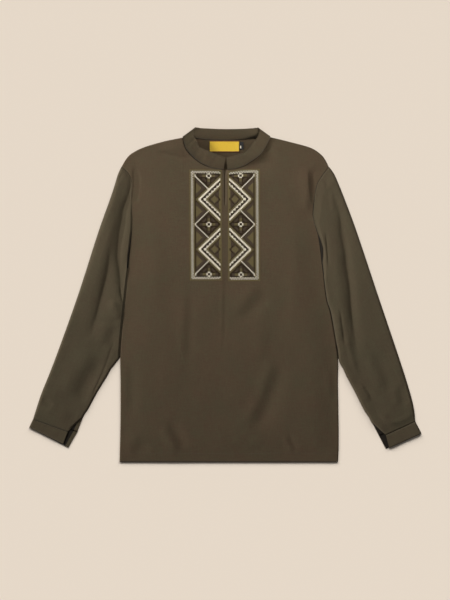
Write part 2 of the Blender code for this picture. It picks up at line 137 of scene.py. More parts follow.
def smooth_line(points, count, growth=1.0):
    marks = with_end_marks(np.array(points, float))
    t = np.linspace(0, 1, CURVE_STEPS + 1)[1:, None]
    spans = [between_marks(*four, t) for four in zip(marks, marks[1:], marks[2:], marks[3:])]
    fine = np.vstack([marks[1:2], *spans])
    reach = reach_along(fine)
    return at_reach(reach[-1] * np.linspace(0, 1, count + 1) ** growth, reach, fine)


def ramp(value, length):
    t = np.clip(np.asarray(value, float) / length, 0.0, 1.0)
    return t * t * (3 - 2 * t)


print("a quarter turn in 4:", smooth_line([(0, 0), (0.7, 0.3), (1, 1)], 4).round(2).tolist())

# %% [markdown]
# ## The cut of the shirt
# These are the outlines of the pieces as they lie, in metres. Left and right are the two sides
# of the picture. The shirt lies a little askew, so each side has its own marks. A side gives
# the side seam from the hem up, the armhole on to the shoulder point, the shoulder on to the
# neck, and the neckline on to the slit. The sleeve's outer and inner edges run down to the
# cuff, whose last edge has three corners, because the cuff is open on the inside. Inside that
# opening the lower layer is painted near black as shade, up to the column that dark_until names.

# %% Outlines
HEM_Y = -0.3797
NECK_FRONT_Y = 0.2835
CENTRE_X = -0.0007
Side = namedtuple("Side", "side armhole shoulder neck back_neck outer inner vent cuff dark_until")
LEFT = Side(
    side=((-0.2398, HEM_Y), (-0.2378, -0.290), (-0.2376, -0.200), (-0.2378, -0.135),
          (-0.2301, -0.046), (-0.2244, 0.005), (-0.2190, 0.0595)),
    armhole=((-0.2190, 0.0595), (-0.2148, 0.105), (-0.2114, 0.155), (-0.2112, 0.195),
             (-0.2125, 0.230), (-0.2112, 0.256), (-0.2195, 0.276), (-0.2355, 0.2899)),
    shoulder=((-0.2355, 0.2899), (-0.2255, 0.3069), (-0.2130, 0.3200), (-0.1856, 0.3341),
              (-0.1393, 0.3478), (-0.0975, 0.3564)),
    neck=((-0.0975, 0.3564), (-0.0952, 0.3432), (-0.0890, 0.3287), (-0.0764, 0.3142),
          (-0.0619, 0.3023), (-0.0446, 0.2922), (-0.0244, 0.2857), (-0.0040, NECK_FRONT_Y)),
    back_neck=((-0.0975, 0.3566), (-0.070, 0.3559), (-0.040, 0.3532), (0.0, 0.3520)),
    outer=((-0.2355, 0.2899), (-0.2432, 0.2728), (-0.2500, 0.2502), (-0.2621, 0.2138),
           (-0.2879, 0.1412), (-0.3347, -0.0041), (-0.3869, -0.1494), (-0.4158, -0.2220),
           (-0.4280, -0.2583), (-0.4355, -0.2822)),
    inner=((-0.2190, 0.0595), (-0.2248, 0.005), (-0.2306, -0.046), (-0.2383, -0.135),
           (-0.2450, -0.1510), (-0.2578, -0.1675), (-0.2680, -0.1857), (-0.2902, -0.2220),
           (-0.3098, -0.2583), (-0.3213, -0.2765), (-0.3354, -0.3117)),
    vent=(-0.3570, -0.3105),
    cuff=((-0.4450, -0.3010), (-0.3682, -0.3388), (-0.3560, -0.3469)),
    dark_until=19,
)
RIGHT = Side(
    side=((0.2560, HEM_Y), (0.2575, -0.325), (0.2558, -0.200), (0.2550, -0.140),
          (0.2394, -0.046), (0.2296, -0.012), (0.2224, 0.0436)),
    armhole=((0.2224, 0.0436), (0.2188, 0.073), (0.2115, 0.128), (0.2015, 0.166),
             (0.1985, 0.190), (0.2069, 0.243), (0.2192, 0.268), (0.2355, 0.2887)),
    shoulder=((0.2355, 0.2887), (0.2264, 0.3069), (0.2151, 0.3200), (0.1919, 0.3341),
              (0.1422, 0.3478), (0.1032, 0.3573)),
    neck=((0.1032, 0.3573), (0.0968, 0.3430), (0.0871, 0.3257), (0.0755, 0.3126),
          (0.0596, 0.3023), (0.0423, 0.2917), (0.0235, 0.2857), (0.0044, NECK_FRONT_Y)),
    back_neck=((0.1032, 0.3580), (0.075, 0.3562), (0.042, 0.3534), (0.0, 0.3520)),
    outer=((0.2355, 0.2887), (0.2464, 0.2728), (0.2564, 0.2502), (0.2709, 0.2138),
           (0.2977, 0.1412), (0.3463, -0.0041), (0.3953, -0.1494), (0.4180, -0.2220),
           (0.4269, -0.2583), (0.4303, -0.2880)),
    inner=((0.2224, 0.0436), (0.2300, -0.012), (0.2402, -0.046), (0.2558, -0.140),
           (0.2677, -0.1675), (0.2761, -0.1857), (0.2954, -0.2220), (0.3136, -0.2583),
           (0.3254, -0.2765), (0.3490, -0.3208)),
    vent=(0.3638, -0.3185),
    cuff=((0.4448, -0.3152), (0.3722, -0.3480), (0.3645, -0.3497)),
    dark_until=23,
)
print("shoulder width in mm:", round(1000 * (RIGHT.shoulder[0][0] - LEFT.shoulder[0][0])))

# %% [markdown]
# ## Meshes from arrays
# Every piece of cloth here is a grid of points, rows by columns. One helper turns such a grid
# into a mesh: it joins points that lie on each other, so that two halves of a panel become one
# piece, and writes a UV map in metres along the cloth's own threads. The weave reads that map,
# so the threads of a sleeve run down the sleeve and not across the picture.

# %% Make a mesh
GRAIN = "grain"              # the name of the UV map, in metres of cloth
JOIN = 1e-6


def grid_faces(rows, columns, first=0):
    at = first + np.arange(rows * columns).reshape(rows, columns)
    return np.stack([at[:-1, :-1], at[:-1, 1:], at[1:, 1:], at[1:, :-1]], -1).reshape(-1, 4)


def cloth_object(name, points, faces, grain, looks, face_looks=None, join=True):
    if join:
        keys = np.round(points / JOIN).astype(np.int64)
        _, firsts, inverse = np.unique(keys, axis=0, return_index=True, return_inverse=True)
        inverse = inverse.reshape(-1)
        used, corners = points[firsts], inverse[faces]
    else:
        used, corners = points, faces
    keep = [len(set(row)) > 2 for row in corners.tolist()]
    corners, sources = corners[keep], faces[keep]
    rows = [list(dict.fromkeys(row)) for row in corners.tolist()]
    mesh = bpy.data.meshes.new(name)
    mesh.from_pydata(used.tolist(), [], rows)
    if grain is not None:
        spread = []
        for corner_row, source_row in zip(corners.tolist(), sources.tolist()):
            seen = dict(zip(reversed(corner_row), reversed(source_row)))
            spread.extend(grain[seen[corner]] for corner in dict.fromkeys(corner_row))
        layer = mesh.uv_layers.new(name=GRAIN)
        layer.data.foreach_set("uv", np.array(spread, np.float32).ravel())
    for look in looks:
        mesh.materials.append(look)
    if face_looks is not None:
        mesh.polygons.foreach_set("material_index", np.asarray(face_looks)[keep].astype(np.int32))
    mesh.shade_smooth()
    return add_object(name, mesh)


def thicken(piece, thickness, offset=-1.0):
    wall = piece.modifiers.new("cloth thickness", "SOLIDIFY")
    wall.thickness = thickness
    wall.offset = offset
    wall.use_even_offset = False
    return piece


print("faces in a grid of 3 by 4 points:", len(grid_faces(3, 4)))

# %% [markdown]
# ## Height from the solids, creases from a list
# The front and the sleeves lie on their solids: a ray sent straight down finds the solid's
# height under every point of the grid, and averaging with the neighbours takes out the facets.
# The folds are then pressed in one by one, in three kinds. A fold is a soft step: walking along its
# line, the cloth stands high on the right and falls away to the left. A roll is such a step with
# a sharp foot on the line itself, where the cloth on the right rolls down onto the cloth on the
# left. A crease is a plain ridge, or a trough where its height is below 0.

# %% Lay points on a solid and crease them
RAY_START = 0.2              # metres above the surface
NEAR_HEIGHT = 0.003          # where the nearest wall is looked for when a ray meets none
ROLL_FOOT = 3                # how sharp a roll's foot is
ROLL_FADE = 0.15             # how soon the cloth beside it lies flat again
CREASE_START = 0.04          # a crease starts and ends at this share of its depth's rise
CREASE_FADE = 0.34           # the share of its length in which it reaches its full depth
Fold = namedtuple("Fold", "drop right left path")         # all in millimetres
Roll = namedtuple("Roll", "drop right left path")
Crease = namedtuple("Crease", "height right left path")


def solid_tree(name):
    mesh = frame["nodes"][name].data
    mesh.calc_loop_triangles()
    return BVHTree.FromPolygons([v.co[:] for v in mesh.vertices],
                                [t.vertices[:] for t in mesh.loop_triangles])


def ray_down(tree, x, y):
    """Where a ray from above meets a surface, and which way the surface faces there."""
    return tree.ray_cast(Vector((x, y, RAY_START)), Vector((0, 0, -1)))[:2]


def height_on(tree, plan):
    heights = np.empty(len(plan))
    for i, (x, y) in enumerate(plan.tolist()):
        hit = ray_down(tree, x, y)[0]
        if hit is None:
            hit = tree.find_nearest(Vector((x, y, NEAR_HEIGHT)))[0]
        heights[i] = hit.z
    return heights


def relax(heights, rounds):
    for _ in range(rounds):
        padded = np.pad(heights, 1, mode="edge")
        around = padded[:-2, 1:-1] + padded[2:, 1:-1] + padded[1:-1, :-2] + padded[1:-1, 2:]
        heights = 0.5 * heights + 0.125 * around
    return heights


def off_the_line(plan, path):
    """Distance to a line, above 0 on its left, and how far along it, from 0 to 1."""
    line = smooth_line(np.array(path) * MM, 4 * len(path))
    best = np.full(len(plan), np.inf)
    side = np.ones(len(plan))
    share = np.zeros(len(plan))
    for k, (a, b) in enumerate(zip(line, line[1:])):
        along = b - a
        reach = plan - a
        t = np.clip(reach @ along / (along @ along), 0.0, 1.0)
        off = reach - t[:, None] * along
        distance = np.linalg.norm(off, axis=1)
        nearer = distance < best
        best = np.where(nearer, distance, best)
        side = np.where(nearer, along[0] * off[:, 1] - along[1] * off[:, 0], side)
        share = np.where(nearer, (k + t) / (len(line) - 1), share)
    return np.where(side > 0, best, -best), share


def section(crease, distance):
    """The height of a crease at a distance from its line, above 0 on its left."""
    width = np.where(distance > 0, crease.left, crease.right) * MM
    q = distance / width
    if isinstance(crease, Crease):
        return crease.height * np.exp(-q * q)
    if isinstance(crease, Fold):
        lean = width / ((crease.left + crease.right) * MM)
        return -crease.drop * lean * q * np.exp(0.5 - 0.5 * q * q)
    rolled = (0.5 - np.exp(ROLL_FOOT * np.minimum(q, 0))) * np.exp(-ROLL_FADE * q * q)
    return crease.drop * np.where(q > 0, -0.5 * np.exp(-q * q), rolled)


def crease_heights(plan, creases):
    total = np.zeros(len(plan))
    for crease in creases:
        distance, share = off_the_line(plan, crease.path)
        from_end = np.minimum(share, 1 - share)
        total += section(crease, distance) * MM * ramp(from_end + CREASE_START, CREASE_FADE)
    return total


def ripple(plan, size, height, seed):
    """Soft unevenness, size across and height high, the same on every run."""
    return height * np.array([noise.noise(Vector((x / size, y / size, seed)))
                              for x, y in plan.tolist()])


trees = {name: solid_tree(name) for name in frame["nodes"]}
print("the front's height at its middle in mm:",
      round(1000 * height_on(trees["front"], np.array([[0.1, 0.0]]))[0], 2))

# %% [markdown]
# ## The weave, as a node group
# Plain-weave linen shows single threads from close by, thicker ones here and there (slubs), and
# from a distance a faint cloudiness where the dye took more or less. All pieces are cut from
# one bolt, so this is one shader node group that every cloth material places with its own
# values. It puts out a shade, which is about 1, a cloud mask for the colour and a height.

# %% Node helpers and the weave group
THREADS_PER_METRE = 1900.0
THIN_THREADS = ((1500, 45, 1), (45, 1500, 1))    # noise across and along single threads
SLUB_THREADS = ((330, 38, 1), (38, 330, 1))      # and across and along the slubs
EVEN = (1, 1, 1)
FUZZ_SCALE = 240.0
CLOUD_SCALE = 13.0
SHADE_BETWEEN = 0.87         # the shade between two threads
SHADE_THREAD = 0.18          # how much lighter the crown of a thread is


def add_node(tree, kind, **values):
    node = tree.nodes.new(kind)
    for key, value in values.items():
        setattr(node, key, value)
    return node


def math_node(tree, operation, first, second=None):
    node = tree.nodes.new("ShaderNodeMath")
    node.operation = operation
    for socket, value in zip(node.inputs, (first, second)):
        if value is None:
            continue
        if isinstance(value, (int, float)):
            socket.default_value = value
        else:
            tree.links.new(value, socket)
    return node.outputs[0]


def noise_at(tree, vector, scale, stretch, detail=2.0):
    """A noise about 0, from -0.5 to 0.5, drawn out along one axis by stretch."""
    mapped = tree.nodes.new("ShaderNodeMapping")
    mapped.inputs["Scale"].default_value = stretch
    tree.links.new(vector, mapped.inputs["Vector"])
    speckle = tree.nodes.new("ShaderNodeTexNoise")
    speckle.inputs["Scale"].default_value = scale
    speckle.inputs["Detail"].default_value = detail
    tree.links.new(mapped.outputs[0], speckle.inputs["Vector"])
    return math_node(tree, "SUBTRACT", speckle.outputs["Fac"], 0.5)


def total_of(tree, *terms):
    result = terms[0]
    for term in terms[1:]:
        result = math_node(tree, "ADD", result, term)
    return result


def make_weave():
    tree = bpy.data.node_groups.new("linen weave", "ShaderNodeTree")
    for name, kind, value in (("Grain", "NodeSocketVector", None),
                              ("Threads", "NodeSocketFloat", THREADS_PER_METRE),
                              ("Slubs", "NodeSocketFloat", 0.3),
                              ("Clouds", "NodeSocketFloat", 0.10)):
        socket = tree.interface.new_socket(name, in_out="INPUT", socket_type=kind)
        if value is not None:
            socket.default_value = value
    for name in ("Shade", "Cloud", "Height"):
        tree.interface.new_socket(name, in_out="OUTPUT", socket_type="NodeSocketFloat")
    source = tree.nodes.new("NodeGroupInput")
    result = tree.nodes.new("NodeGroupOutput")
    grain, threads, slubs, clouds = source.outputs[:4]
    parts = tree.nodes.new("ShaderNodeSeparateXYZ")
    tree.links.new(grain, parts.inputs[0])
    pitch = math_node(tree, "MULTIPLY", threads, math.pi)
    turns = [math_node(tree, "SINE", math_node(tree, "MULTIPLY", axis, pitch))
             for axis in parts.outputs[:2]]
    over = math_node(tree, "GREATER_THAN", math_node(tree, "MULTIPLY", *turns), 0.0)
    under = math_node(tree, "SUBTRACT", 1.0, over)
    warp, weft = [math_node(tree, "ABSOLUTE", turn) for turn in turns]
    crossing = total_of(tree, math_node(tree, "MULTIPLY", warp, over),
                        math_node(tree, "MULTIPLY", weft, under))
    thin, thick = [total_of(tree, *(noise_at(tree, grain, 1.0, stretch) for stretch in both))
                   for both in (THIN_THREADS, SLUB_THREADS)]
    fine = noise_at(tree, grain, FUZZ_SCALE, EVEN, 3.0)
    cloud = noise_at(tree, grain, CLOUD_SCALE, EVEN, 4.0)
    uneven = math_node(tree, "MULTIPLY", total_of(tree, thin, thick, fine), slubs)
    clouded = math_node(tree, "MULTIPLY", cloud, clouds)
    shade = total_of(tree, math_node(tree, "MULTIPLY", crossing, SHADE_THREAD), SHADE_BETWEEN,
                     uneven, clouded)
    tree.links.new(shade, result.inputs["Shade"])
    tint = total_of(tree, math_node(tree, "MULTIPLY", cloud, 1.6),
                    math_node(tree, "MULTIPLY", thick, 1.4), 0.5)
    tree.links.new(tint, result.inputs["Cloud"])
    tree.links.new(total_of(tree, crossing, math_node(tree, "MULTIPLY", thin, 1.5)),
                   result.inputs["Height"])
    return tree


weave = make_weave()
print("weave sockets:", [item.name for item in weave.interface.items_tree])

# %% [markdown]
# ## Cloth materials
# The linen is an olive brown that leans to brown in some places and to green in others. The
# colour is a mix of those two by the cloud mask, times the weave's shade. The sleeves were cut
# with the threads the other way round; their colours are greener and a little darker, which is
# painted shade for the sleeves' slopes and their weaker sheen. Linen is matt, so roughness is
# high, and a little sheen stands for the fuzz of loose fibres.

# %% Cloth materials
BROWN = (0.0740, 0.0450, 0.0228)
GREEN = (0.0590, 0.0450, 0.0216)
# Sleeve colours: painted shade, darker and greener than the body's
SHADED_SLEEVE_BROWN = (0.0650, 0.0450, 0.0230)
SHADED_SLEEVE_GREEN = (0.0560, 0.0450, 0.0222)
COLLAR_BROWN = (0.0775, 0.0505, 0.0258)
COLLAR_GREEN = (0.0640, 0.0510, 0.0250)
LINEN_ROUGHNESS = 0.88
WEAVE_RELIEF = 0.12 / 1000   # metres


def new_material(name, roughness, sheen=0.0):
    made = bpy.data.materials.new(name)
    made.use_nodes = True
    shader = made.node_tree.nodes["Principled BSDF"]
    shader.inputs["Roughness"].default_value = roughness
    shader.inputs["Specular IOR Level"].default_value = 0.25
    shader.inputs["Sheen Weight"].default_value = sheen
    shader.inputs["Sheen Roughness"].default_value = 0.6
    return made, made.node_tree, shader


def scaled_colour(tree, colour, factor):
    """A colour, or a socket that gives one, times a factor."""
    scaled = tree.nodes.new("ShaderNodeVectorMath")
    scaled.operation = "SCALE"
    if isinstance(colour, tuple):
        scaled.inputs[0].default_value = colour
    else:
        tree.links.new(colour, scaled.inputs[0])
    tree.links.new(factor, scaled.inputs["Scale"])
    return scaled.outputs[0]


def add_bump(tree, shader, height, strength, distance=WEAVE_RELIEF):
    relief = tree.nodes.new("ShaderNodeBump")
    relief.inputs["Strength"].default_value = strength
    relief.inputs["Distance"].default_value = distance
    tree.links.new(height, relief.inputs["Height"])
    tree.links.new(relief.outputs[0], shader.inputs["Normal"])


def woven_material(name, colour, other, roughness, threads, slubs, clouds, bump, sheen=0.05):
    made, tree, shader = new_material(name, roughness, sheen)
    grain = add_node(tree, "ShaderNodeUVMap", uv_map=GRAIN)
    cloth = add_node(tree, "ShaderNodeGroup", node_tree=weave)
    tree.links.new(grain.outputs[0], cloth.inputs["Grain"])
    for socket, value in (("Threads", threads), ("Slubs", slubs), ("Clouds", clouds)):
        cloth.inputs[socket].default_value = value
    tint = add_node(tree, "ShaderNodeMix", data_type="RGBA")
    tint.inputs[6].default_value = (*colour, 1.0)
    tint.inputs[7].default_value = (*other, 1.0)
    tree.links.new(cloth.outputs["Cloud"], tint.inputs[0])
    tree.links.new(scaled_colour(tree, tint.outputs[2], cloth.outputs["Shade"]),
                   shader.inputs["Base Color"])
    add_bump(tree, shader, cloth.outputs["Height"], bump)
    return made


body_linen = woven_material("body linen", BROWN, GREEN, LINEN_ROUGHNESS,
                            THREADS_PER_METRE, 0.30, 0.10, 0.6)
sleeve_linen = woven_material("sleeve linen", SHADED_SLEEVE_BROWN, SHADED_SLEEVE_GREEN, LINEN_ROUGHNESS,
                              THREADS_PER_METRE, 0.30, 0.10, 0.6)
collar_linen = woven_material("collar linen", COLLAR_BROWN, COLLAR_GREEN, LINEN_ROUGHNESS,
                              THREADS_PER_METRE, 0.24, 0.08, 0.6)
print("cloth materials:", [m.name for m in (body_linen, sleeve_linen, collar_linen)])

# %% [markdown]
# ## The body
# Front and back are one panel each. Both are laid out half by half between four borders: the
# hem, the outer edge, the shoulder with the neckline, and the centre line. Where a border
# leaves the straight line, the grid near it follows, so no edge is cut in steps. Only the
# front is slit at the neck, and the two halves are joined from the foot of the slit down.

# %% Panels between four borders
SIDE_ROWS = 114
ARMHOLE_ROWS = 72
SHOULDER_COLUMNS = 48
NECK_COLUMNS = 36
SLIT_ROWS = 24
SLIT_END_Y = 0.2020
SLIT_WIDE = 5.6 * MM
SLIT_CUT = 1.2 * MM
SLIT_NECKING = 14 * MM
SLIT_TAPER = 20 * MM
TUCK_FADE_ROWS = 24
PANEL_ROWS = SIDE_ROWS + ARMHOLE_ROWS + 1
HALF_COLUMNS = SHOULDER_COLUMNS + NECK_COLUMNS + 1


def slit_half_width(y):
    mouth = (SLIT_WIDE - SLIT_CUT) * ramp(y - (NECK_FRONT_Y - SLIT_NECKING), SLIT_NECKING)
    return (SLIT_CUT * ramp(y - SLIT_END_Y, SLIT_TAPER) + mouth) / 2


def centre_line(direction, top_y, slit):
    lower = PANEL_ROWS - 1 - SLIT_ROWS
    y = np.concatenate([np.linspace(HEM_Y, SLIT_END_Y, lower + 1),
                        np.linspace(SLIT_END_Y, top_y, SLIT_ROWS + 1)[1:]])
    x = CENTRE_X + (direction * slit_half_width(y) if slit else 0.0 * y)
    return np.column_stack([x, y])


def half_panel(side, direction, neckline, slit, tuck=0.0):
    edge = np.vstack([smooth_line(side.side, SIDE_ROWS),
                      smooth_line(side.armhole, ARMHOLE_ROWS)[1:]])
    from_top = np.arange(PANEL_ROWS) - PANEL_ROWS + 1
    edge[:, 0] -= direction * tuck * (1 - ramp(from_top + TUCK_FADE_ROWS, TUCK_FADE_ROWS))
    neck = smooth_line(neckline, NECK_COLUMNS)
    middle = centre_line(direction, neck[-1][1], slit)
    neck[-1] = middle[-1]
    crown = np.vstack([smooth_line(side.shoulder, SHOULDER_COLUMNS), neck[1:]])
    u = np.linspace(0, 1, HALF_COLUMNS)[None, :, None]
    v = np.linspace(0, 1, PANEL_ROWS)[:, None]
    hem = edge[0] + (middle[0] - edge[0]) * u[0]
    plain = hem + (crown - hem) * v[:, :, None]
    outer_departs = edge - (edge[0] + (crown[0] - edge[0]) * v)
    middle_departs = middle - (middle[0] + (crown[-1] - middle[0]) * v)
    return plain + outer_departs[:, None] * (1 - u) ** 3 + middle_departs[:, None] * u ** 3


def whole_panel(necklines, slit, tuck=0.0):
    """Both halves side by side, from the left edge to the right one."""
    left = half_panel(LEFT, -1, necklines[0], slit, tuck)
    right = half_panel(RIGHT, 1, necklines[1], slit, tuck)
    return np.concatenate([left, right[:, ::-1]], axis=1)


def panel_faces(plan):
    """The faces of a whole panel, with none from half to half across the slit."""
    faces = grid_faces(*plan.shape[:2])
    half = plan.shape[1] // 2
    return faces[faces[:, 0] % plan.shape[1] != half - 1]


front_plan = whole_panel((LEFT.neck, RIGHT.neck), slit=True)
print("front grid, rows by columns:", front_plan.shape[:2])

# %% [markdown]
# The front's creases follow the way the shirt was laid down: two long drags run from the
# middle to the hem, short ones gather where the collar pulls, and a broad roll stands beside
# each armhole. Below the slit the pressed centre line still shows.

# %% The front's creases
FRONT_CREASES = (
    Fold(3.4, 16, 16, ((89, 17), (56, -20), (26, -56))),
    Crease(0.9, 18, 18, ((83, -66), (78, -110), (74, -150))),
    Fold(4.2, 13, 18, ((119, -143), (99, -203), (83, -246), (49, -309))),
    Fold(3.2, 12, 12, ((-137, -289), (-118, -320), (-97, -356))),
    Fold(1.6, 6, 6, ((139, -316), (147, -336), (159, -356))),
    Fold(2.2, 14, 14, ((-187, -320), (-203, -340), (-221, -356))),
    Roll(5.5, 9, 6, ((-84, 306), (-112, 315), (-156, 327))),
    Fold(1.2, 6, 5, ((-89, 323), (-120, 328), (-148, 334))),
    Roll(4.5, 8, 6, ((108, 337), (88, 322), (66, 305))),
    Roll(3.0, 7, 5, ((90, 317), (72, 308), (48, 297))),
    Fold(1.1, 4, 3, ((106, 340), (98, 332), (90, 324))),
    Fold(1.1, 4, 3, ((97, 306), (82, 302), (68, 299))),
    Roll(-9.0, 34, 22, ((199, 180), (195, 210), (190, 240), (188, 262), (187, 292))),
    Roll(12.0, 18, 8, ((-207, 290), (-205, 262), (-206, 236), (-209, 204))),
    Fold(0.9, 3, 3, ((-1, 204), (-3, 35), (-6, -95), (-7, -140))),
    Fold(0.5, 3, 3, ((-94, 224), (-110, 226), (-125, 225))),
    Fold(0.5, 3, 3, ((-85, 174), (-98, 177), (-112, 176))),
    Fold(0.5, 3, 3, ((-88, 127), (-104, 130), (-120, 128))),
    Fold(1.4, 10, 10, ((-85, 10), (-88, -70), (-91, -156))),
    Fold(1.8, 12, 12, ((-221, -150), (-222, -210), (-224, -272))),
    Fold(0.9, 8, 8, ((88, -340), (70, -344), (52, -342))),
    Fold(1.4, 10, 10, ((242, -163), (245, -200), (246, -240))),
    Crease(0.8, 18, 18, ((-150, 140), (-155, 20), (-150, -90))),
    Crease(0.8, 20, 20, ((150, 150), (160, 30), (150, -120))),
)
CLOTH = 0.9 * MM
FRONT_RIPPLES = ((75 * MM, 0.9 * MM, 1.0), (22 * MM, 0.22 * MM, 2.0))
FRONT_LOFT = 1.6 * MM        # how much higher the middle of the front lies
LOFT_REACH = 60 * MM
EDGE_HOLD = 0.3              # the share of a crease's depth that is left at an edge
HOLD_REACH = 20 * MM
LOWEST_FRONT = 2.3 * MM


def flat_points(plan, heights):
    return np.concatenate([plan, heights[..., None]], axis=-1).reshape(-1, 3)


def distances(points, other):
    return np.linalg.norm(points - other, axis=-1)


def edge_distance(plan, border):
    """How far every point of a grid is from the nearest border point."""
    away = np.full(len(plan), np.inf)
    for point in border:
        away = np.minimum(away, distances(plan, point))
    return away


def front_heights():
    plan = front_plan.reshape(-1, 2)
    base = height_on(trees["front"], plan).reshape(front_plan.shape[:2])
    base = relax(base, 60).reshape(-1)
    border = np.concatenate([front_plan[0, ::3], front_plan[::3, 0], front_plan[::3, -1],
                             front_plan[-1, ::2]])
    inside = edge_distance(plan, border)
    held = EDGE_HOLD + (1 - EDGE_HOLD) * ramp(inside, HOLD_REACH)
    shape = crease_heights(plan, FRONT_CREASES)
    shape += sum(ripple(plan, *wave) for wave in FRONT_RIPPLES)
    lofted = base + FRONT_LOFT * ramp(inside, LOFT_REACH) + shape * held
    return np.maximum(lofted, LOWEST_FRONT).reshape(front_plan.shape[:2])


front_z = front_heights()
slit_row = PANEL_ROWS - 1 - SLIT_ROWS
seam_z = front_z[:slit_row + 1, HALF_COLUMNS - 1:HALF_COLUMNS + 1].mean(axis=1)
front_z[:slit_row + 1, HALF_COLUMNS - 1] = seam_z
front_z[:slit_row + 1, HALF_COLUMNS] = seam_z
front = cloth_object("front_linen", flat_points(front_plan, front_z), panel_faces(front_plan),
                     front_plan.reshape(-1, 2), [body_linen])
thicken(front, CLOTH)
print("front faces:", len(front.data.polygons), "highest in mm:", round(1000 * front_z.max(), 2))

# %% [markdown]
# The back lies flat on the surface under the front. Only the strip inside the collar shows
# from above, so its grid is coarser: every third row and column of the same layout. Its side
# edges stop a few millimetres short, because the sleeves tuck in under the front there.

# %% The back
TUCK = 2.8 * MM              # how far a sleeve runs in under the body's edge
BACK_CLEAR = 0.8 * MM        # how far the back stays away from the sleeve
BACK_HEIGHT = 1.15 * MM
back_plan = whole_panel((LEFT.back_neck, RIGHT.back_neck), slit=False, tuck=TUCK + BACK_CLEAR)
back_halves = [back_plan[::3, :HALF_COLUMNS:3], back_plan[::3, HALF_COLUMNS::3]]
back_plan = np.concatenate(back_halves, axis=1)
back_z = np.full(back_plan.shape[:2], BACK_HEIGHT)
back = cloth_object("back_linen", flat_points(back_plan, back_z), panel_faces(back_plan),
                    back_plan.reshape(-1, 2), [body_linen])
thicken(back, CLOTH)
print("back faces:", len(back.data.polygons))

# %% [markdown]
# ## Sleeves and cuffs
# A sleeve laid flat is a tube pressed to two layers. Each row across it is a closed ring: the
# upper layer from the outer fold to the inner one, and the lower layer back again. Near a fold
# both layers bend to its middle height in a quarter round. At the vent by the cuff the inner
# fold is cut open, so there the upper layer ends short and shows the lower one.

# %% A flattened tube
TUBE_COLUMNS = 84
UNDER_COLUMNS = 24
FOLD_MIDDLE = 1.5 * MM
UNDER_HEIGHT = 0.15 * MM
TUCK_HEIGHT = 0.9 * MM
FOLD_RADIUS = 3.0 * MM
BUNCHING = 0.13              # how much closer the columns lie near a fold
# The second kind marks faces painted near black as shade, down in seams, gaps and the open vent
LINEN, PAINTED_SEAM_SHADE = range(2)


def bunched(count):
    """Shares from 0 to 1 that lie closer together towards both ends."""
    t = np.linspace(0, 1, count + 1)
    return t - BUNCHING * np.sin(2 * math.pi * t)


def fold_profile(distance):
    """1 away from a fold and 0 on it, along a quarter round."""
    t = np.clip(distance / FOLD_RADIUS, 0, 1)
    return np.sqrt(1 - (1 - t) ** 2)


def layer(outer, inner, bulge, count):
    s = bunched(count)[None, :, None]
    return outer[:, None] + (inner - outer)[:, None] * s + bulge(s[0, :, 0])


def round_to_folds(plan, height, closed):
    from_outer = distances(plan, plan[:, :1])
    from_inner = distances(plan, plan[:, -1:])
    nearest = np.minimum(from_outer, np.where(closed[:, None], from_inner, 1.0))
    rounded = FOLD_MIDDLE + (height - FOLD_MIDDLE) * fold_profile(nearest)
    return np.concatenate([plan, rounded[..., None]], axis=-1)


def tube_layers(upper, lower, top_height, closed, tuck, toward):
    """Both layers in space. The inner fold runs on by tuck, low down, under its neighbour."""
    top = round_to_folds(upper, top_height, closed)
    bottom = round_to_folds(lower, np.full(lower.shape[:2], UNDER_HEIGHT + CLOTH), closed)
    flange = top[:, -1].copy()
    flange[:, 0] += toward * tuck
    flange[:, 2] = np.where(tuck > 0, TUCK_HEIGHT, flange[:, 2])
    top = np.concatenate([top, flange[:, None]], axis=1)
    bottom[closed, -1] = flange[closed]
    return top, bottom


def add_seam_row(sheet, reach, height, toward=0):
    """One more row before the first, which turns down into the seam."""
    step = sheet[0] - sheet[1]
    step[:, 2] = 0
    step /= np.linalg.norm(step, axis=1)[:, None] + JOIN
    if toward:
        step[:] = (toward, 0, 0)
    row = sheet[0] + step * reach[:, None]
    row[:, 2] = height
    return np.concatenate([row[None], sheet])


def tube_object(name, top, bottom, looks, flange, open_rows, dark_until):
    """Joins both layers. Seam row, flange and, in the open rows, the lower layer up to a column are
    painted near-black shade.
    """
    rows, columns = top.shape[:2]
    points = np.concatenate([top.reshape(-1, 3), bottom.reshape(-1, 3)])
    top_faces = grid_faces(rows, columns)[:, ::-1]
    bottom_faces = grid_faces(rows, bottom.shape[1], rows * columns)
    kinds = np.full((rows - 1, columns - 1), LINEN)
    kinds[0] = PAINTED_SEAM_SHADE
    if flange:
        kinds[:, -1] = PAINTED_SEAM_SHADE
    under = np.full((rows - 1, bottom.shape[1] - 1), LINEN)
    under[open_rows, :dark_until] = PAINTED_SEAM_SHADE
    kinds = np.concatenate([kinds.reshape(-1), under.reshape(-1)])
    run = reach_along(top[:, 0])
    grain = []
    for sheet in (top, bottom):
        across = distances(sheet, sheet[:, :1])
        down = np.repeat(run[:, None], sheet.shape[1], 1)
        grain.append(np.stack([across, down], -1).reshape(-1, 2))
    return cloth_object(name, points, np.concatenate([top_faces, bottom_faces]),
                        np.concatenate(grain), looks, kinds)


print("shares across a layer:", bunched(6).round(2).tolist())
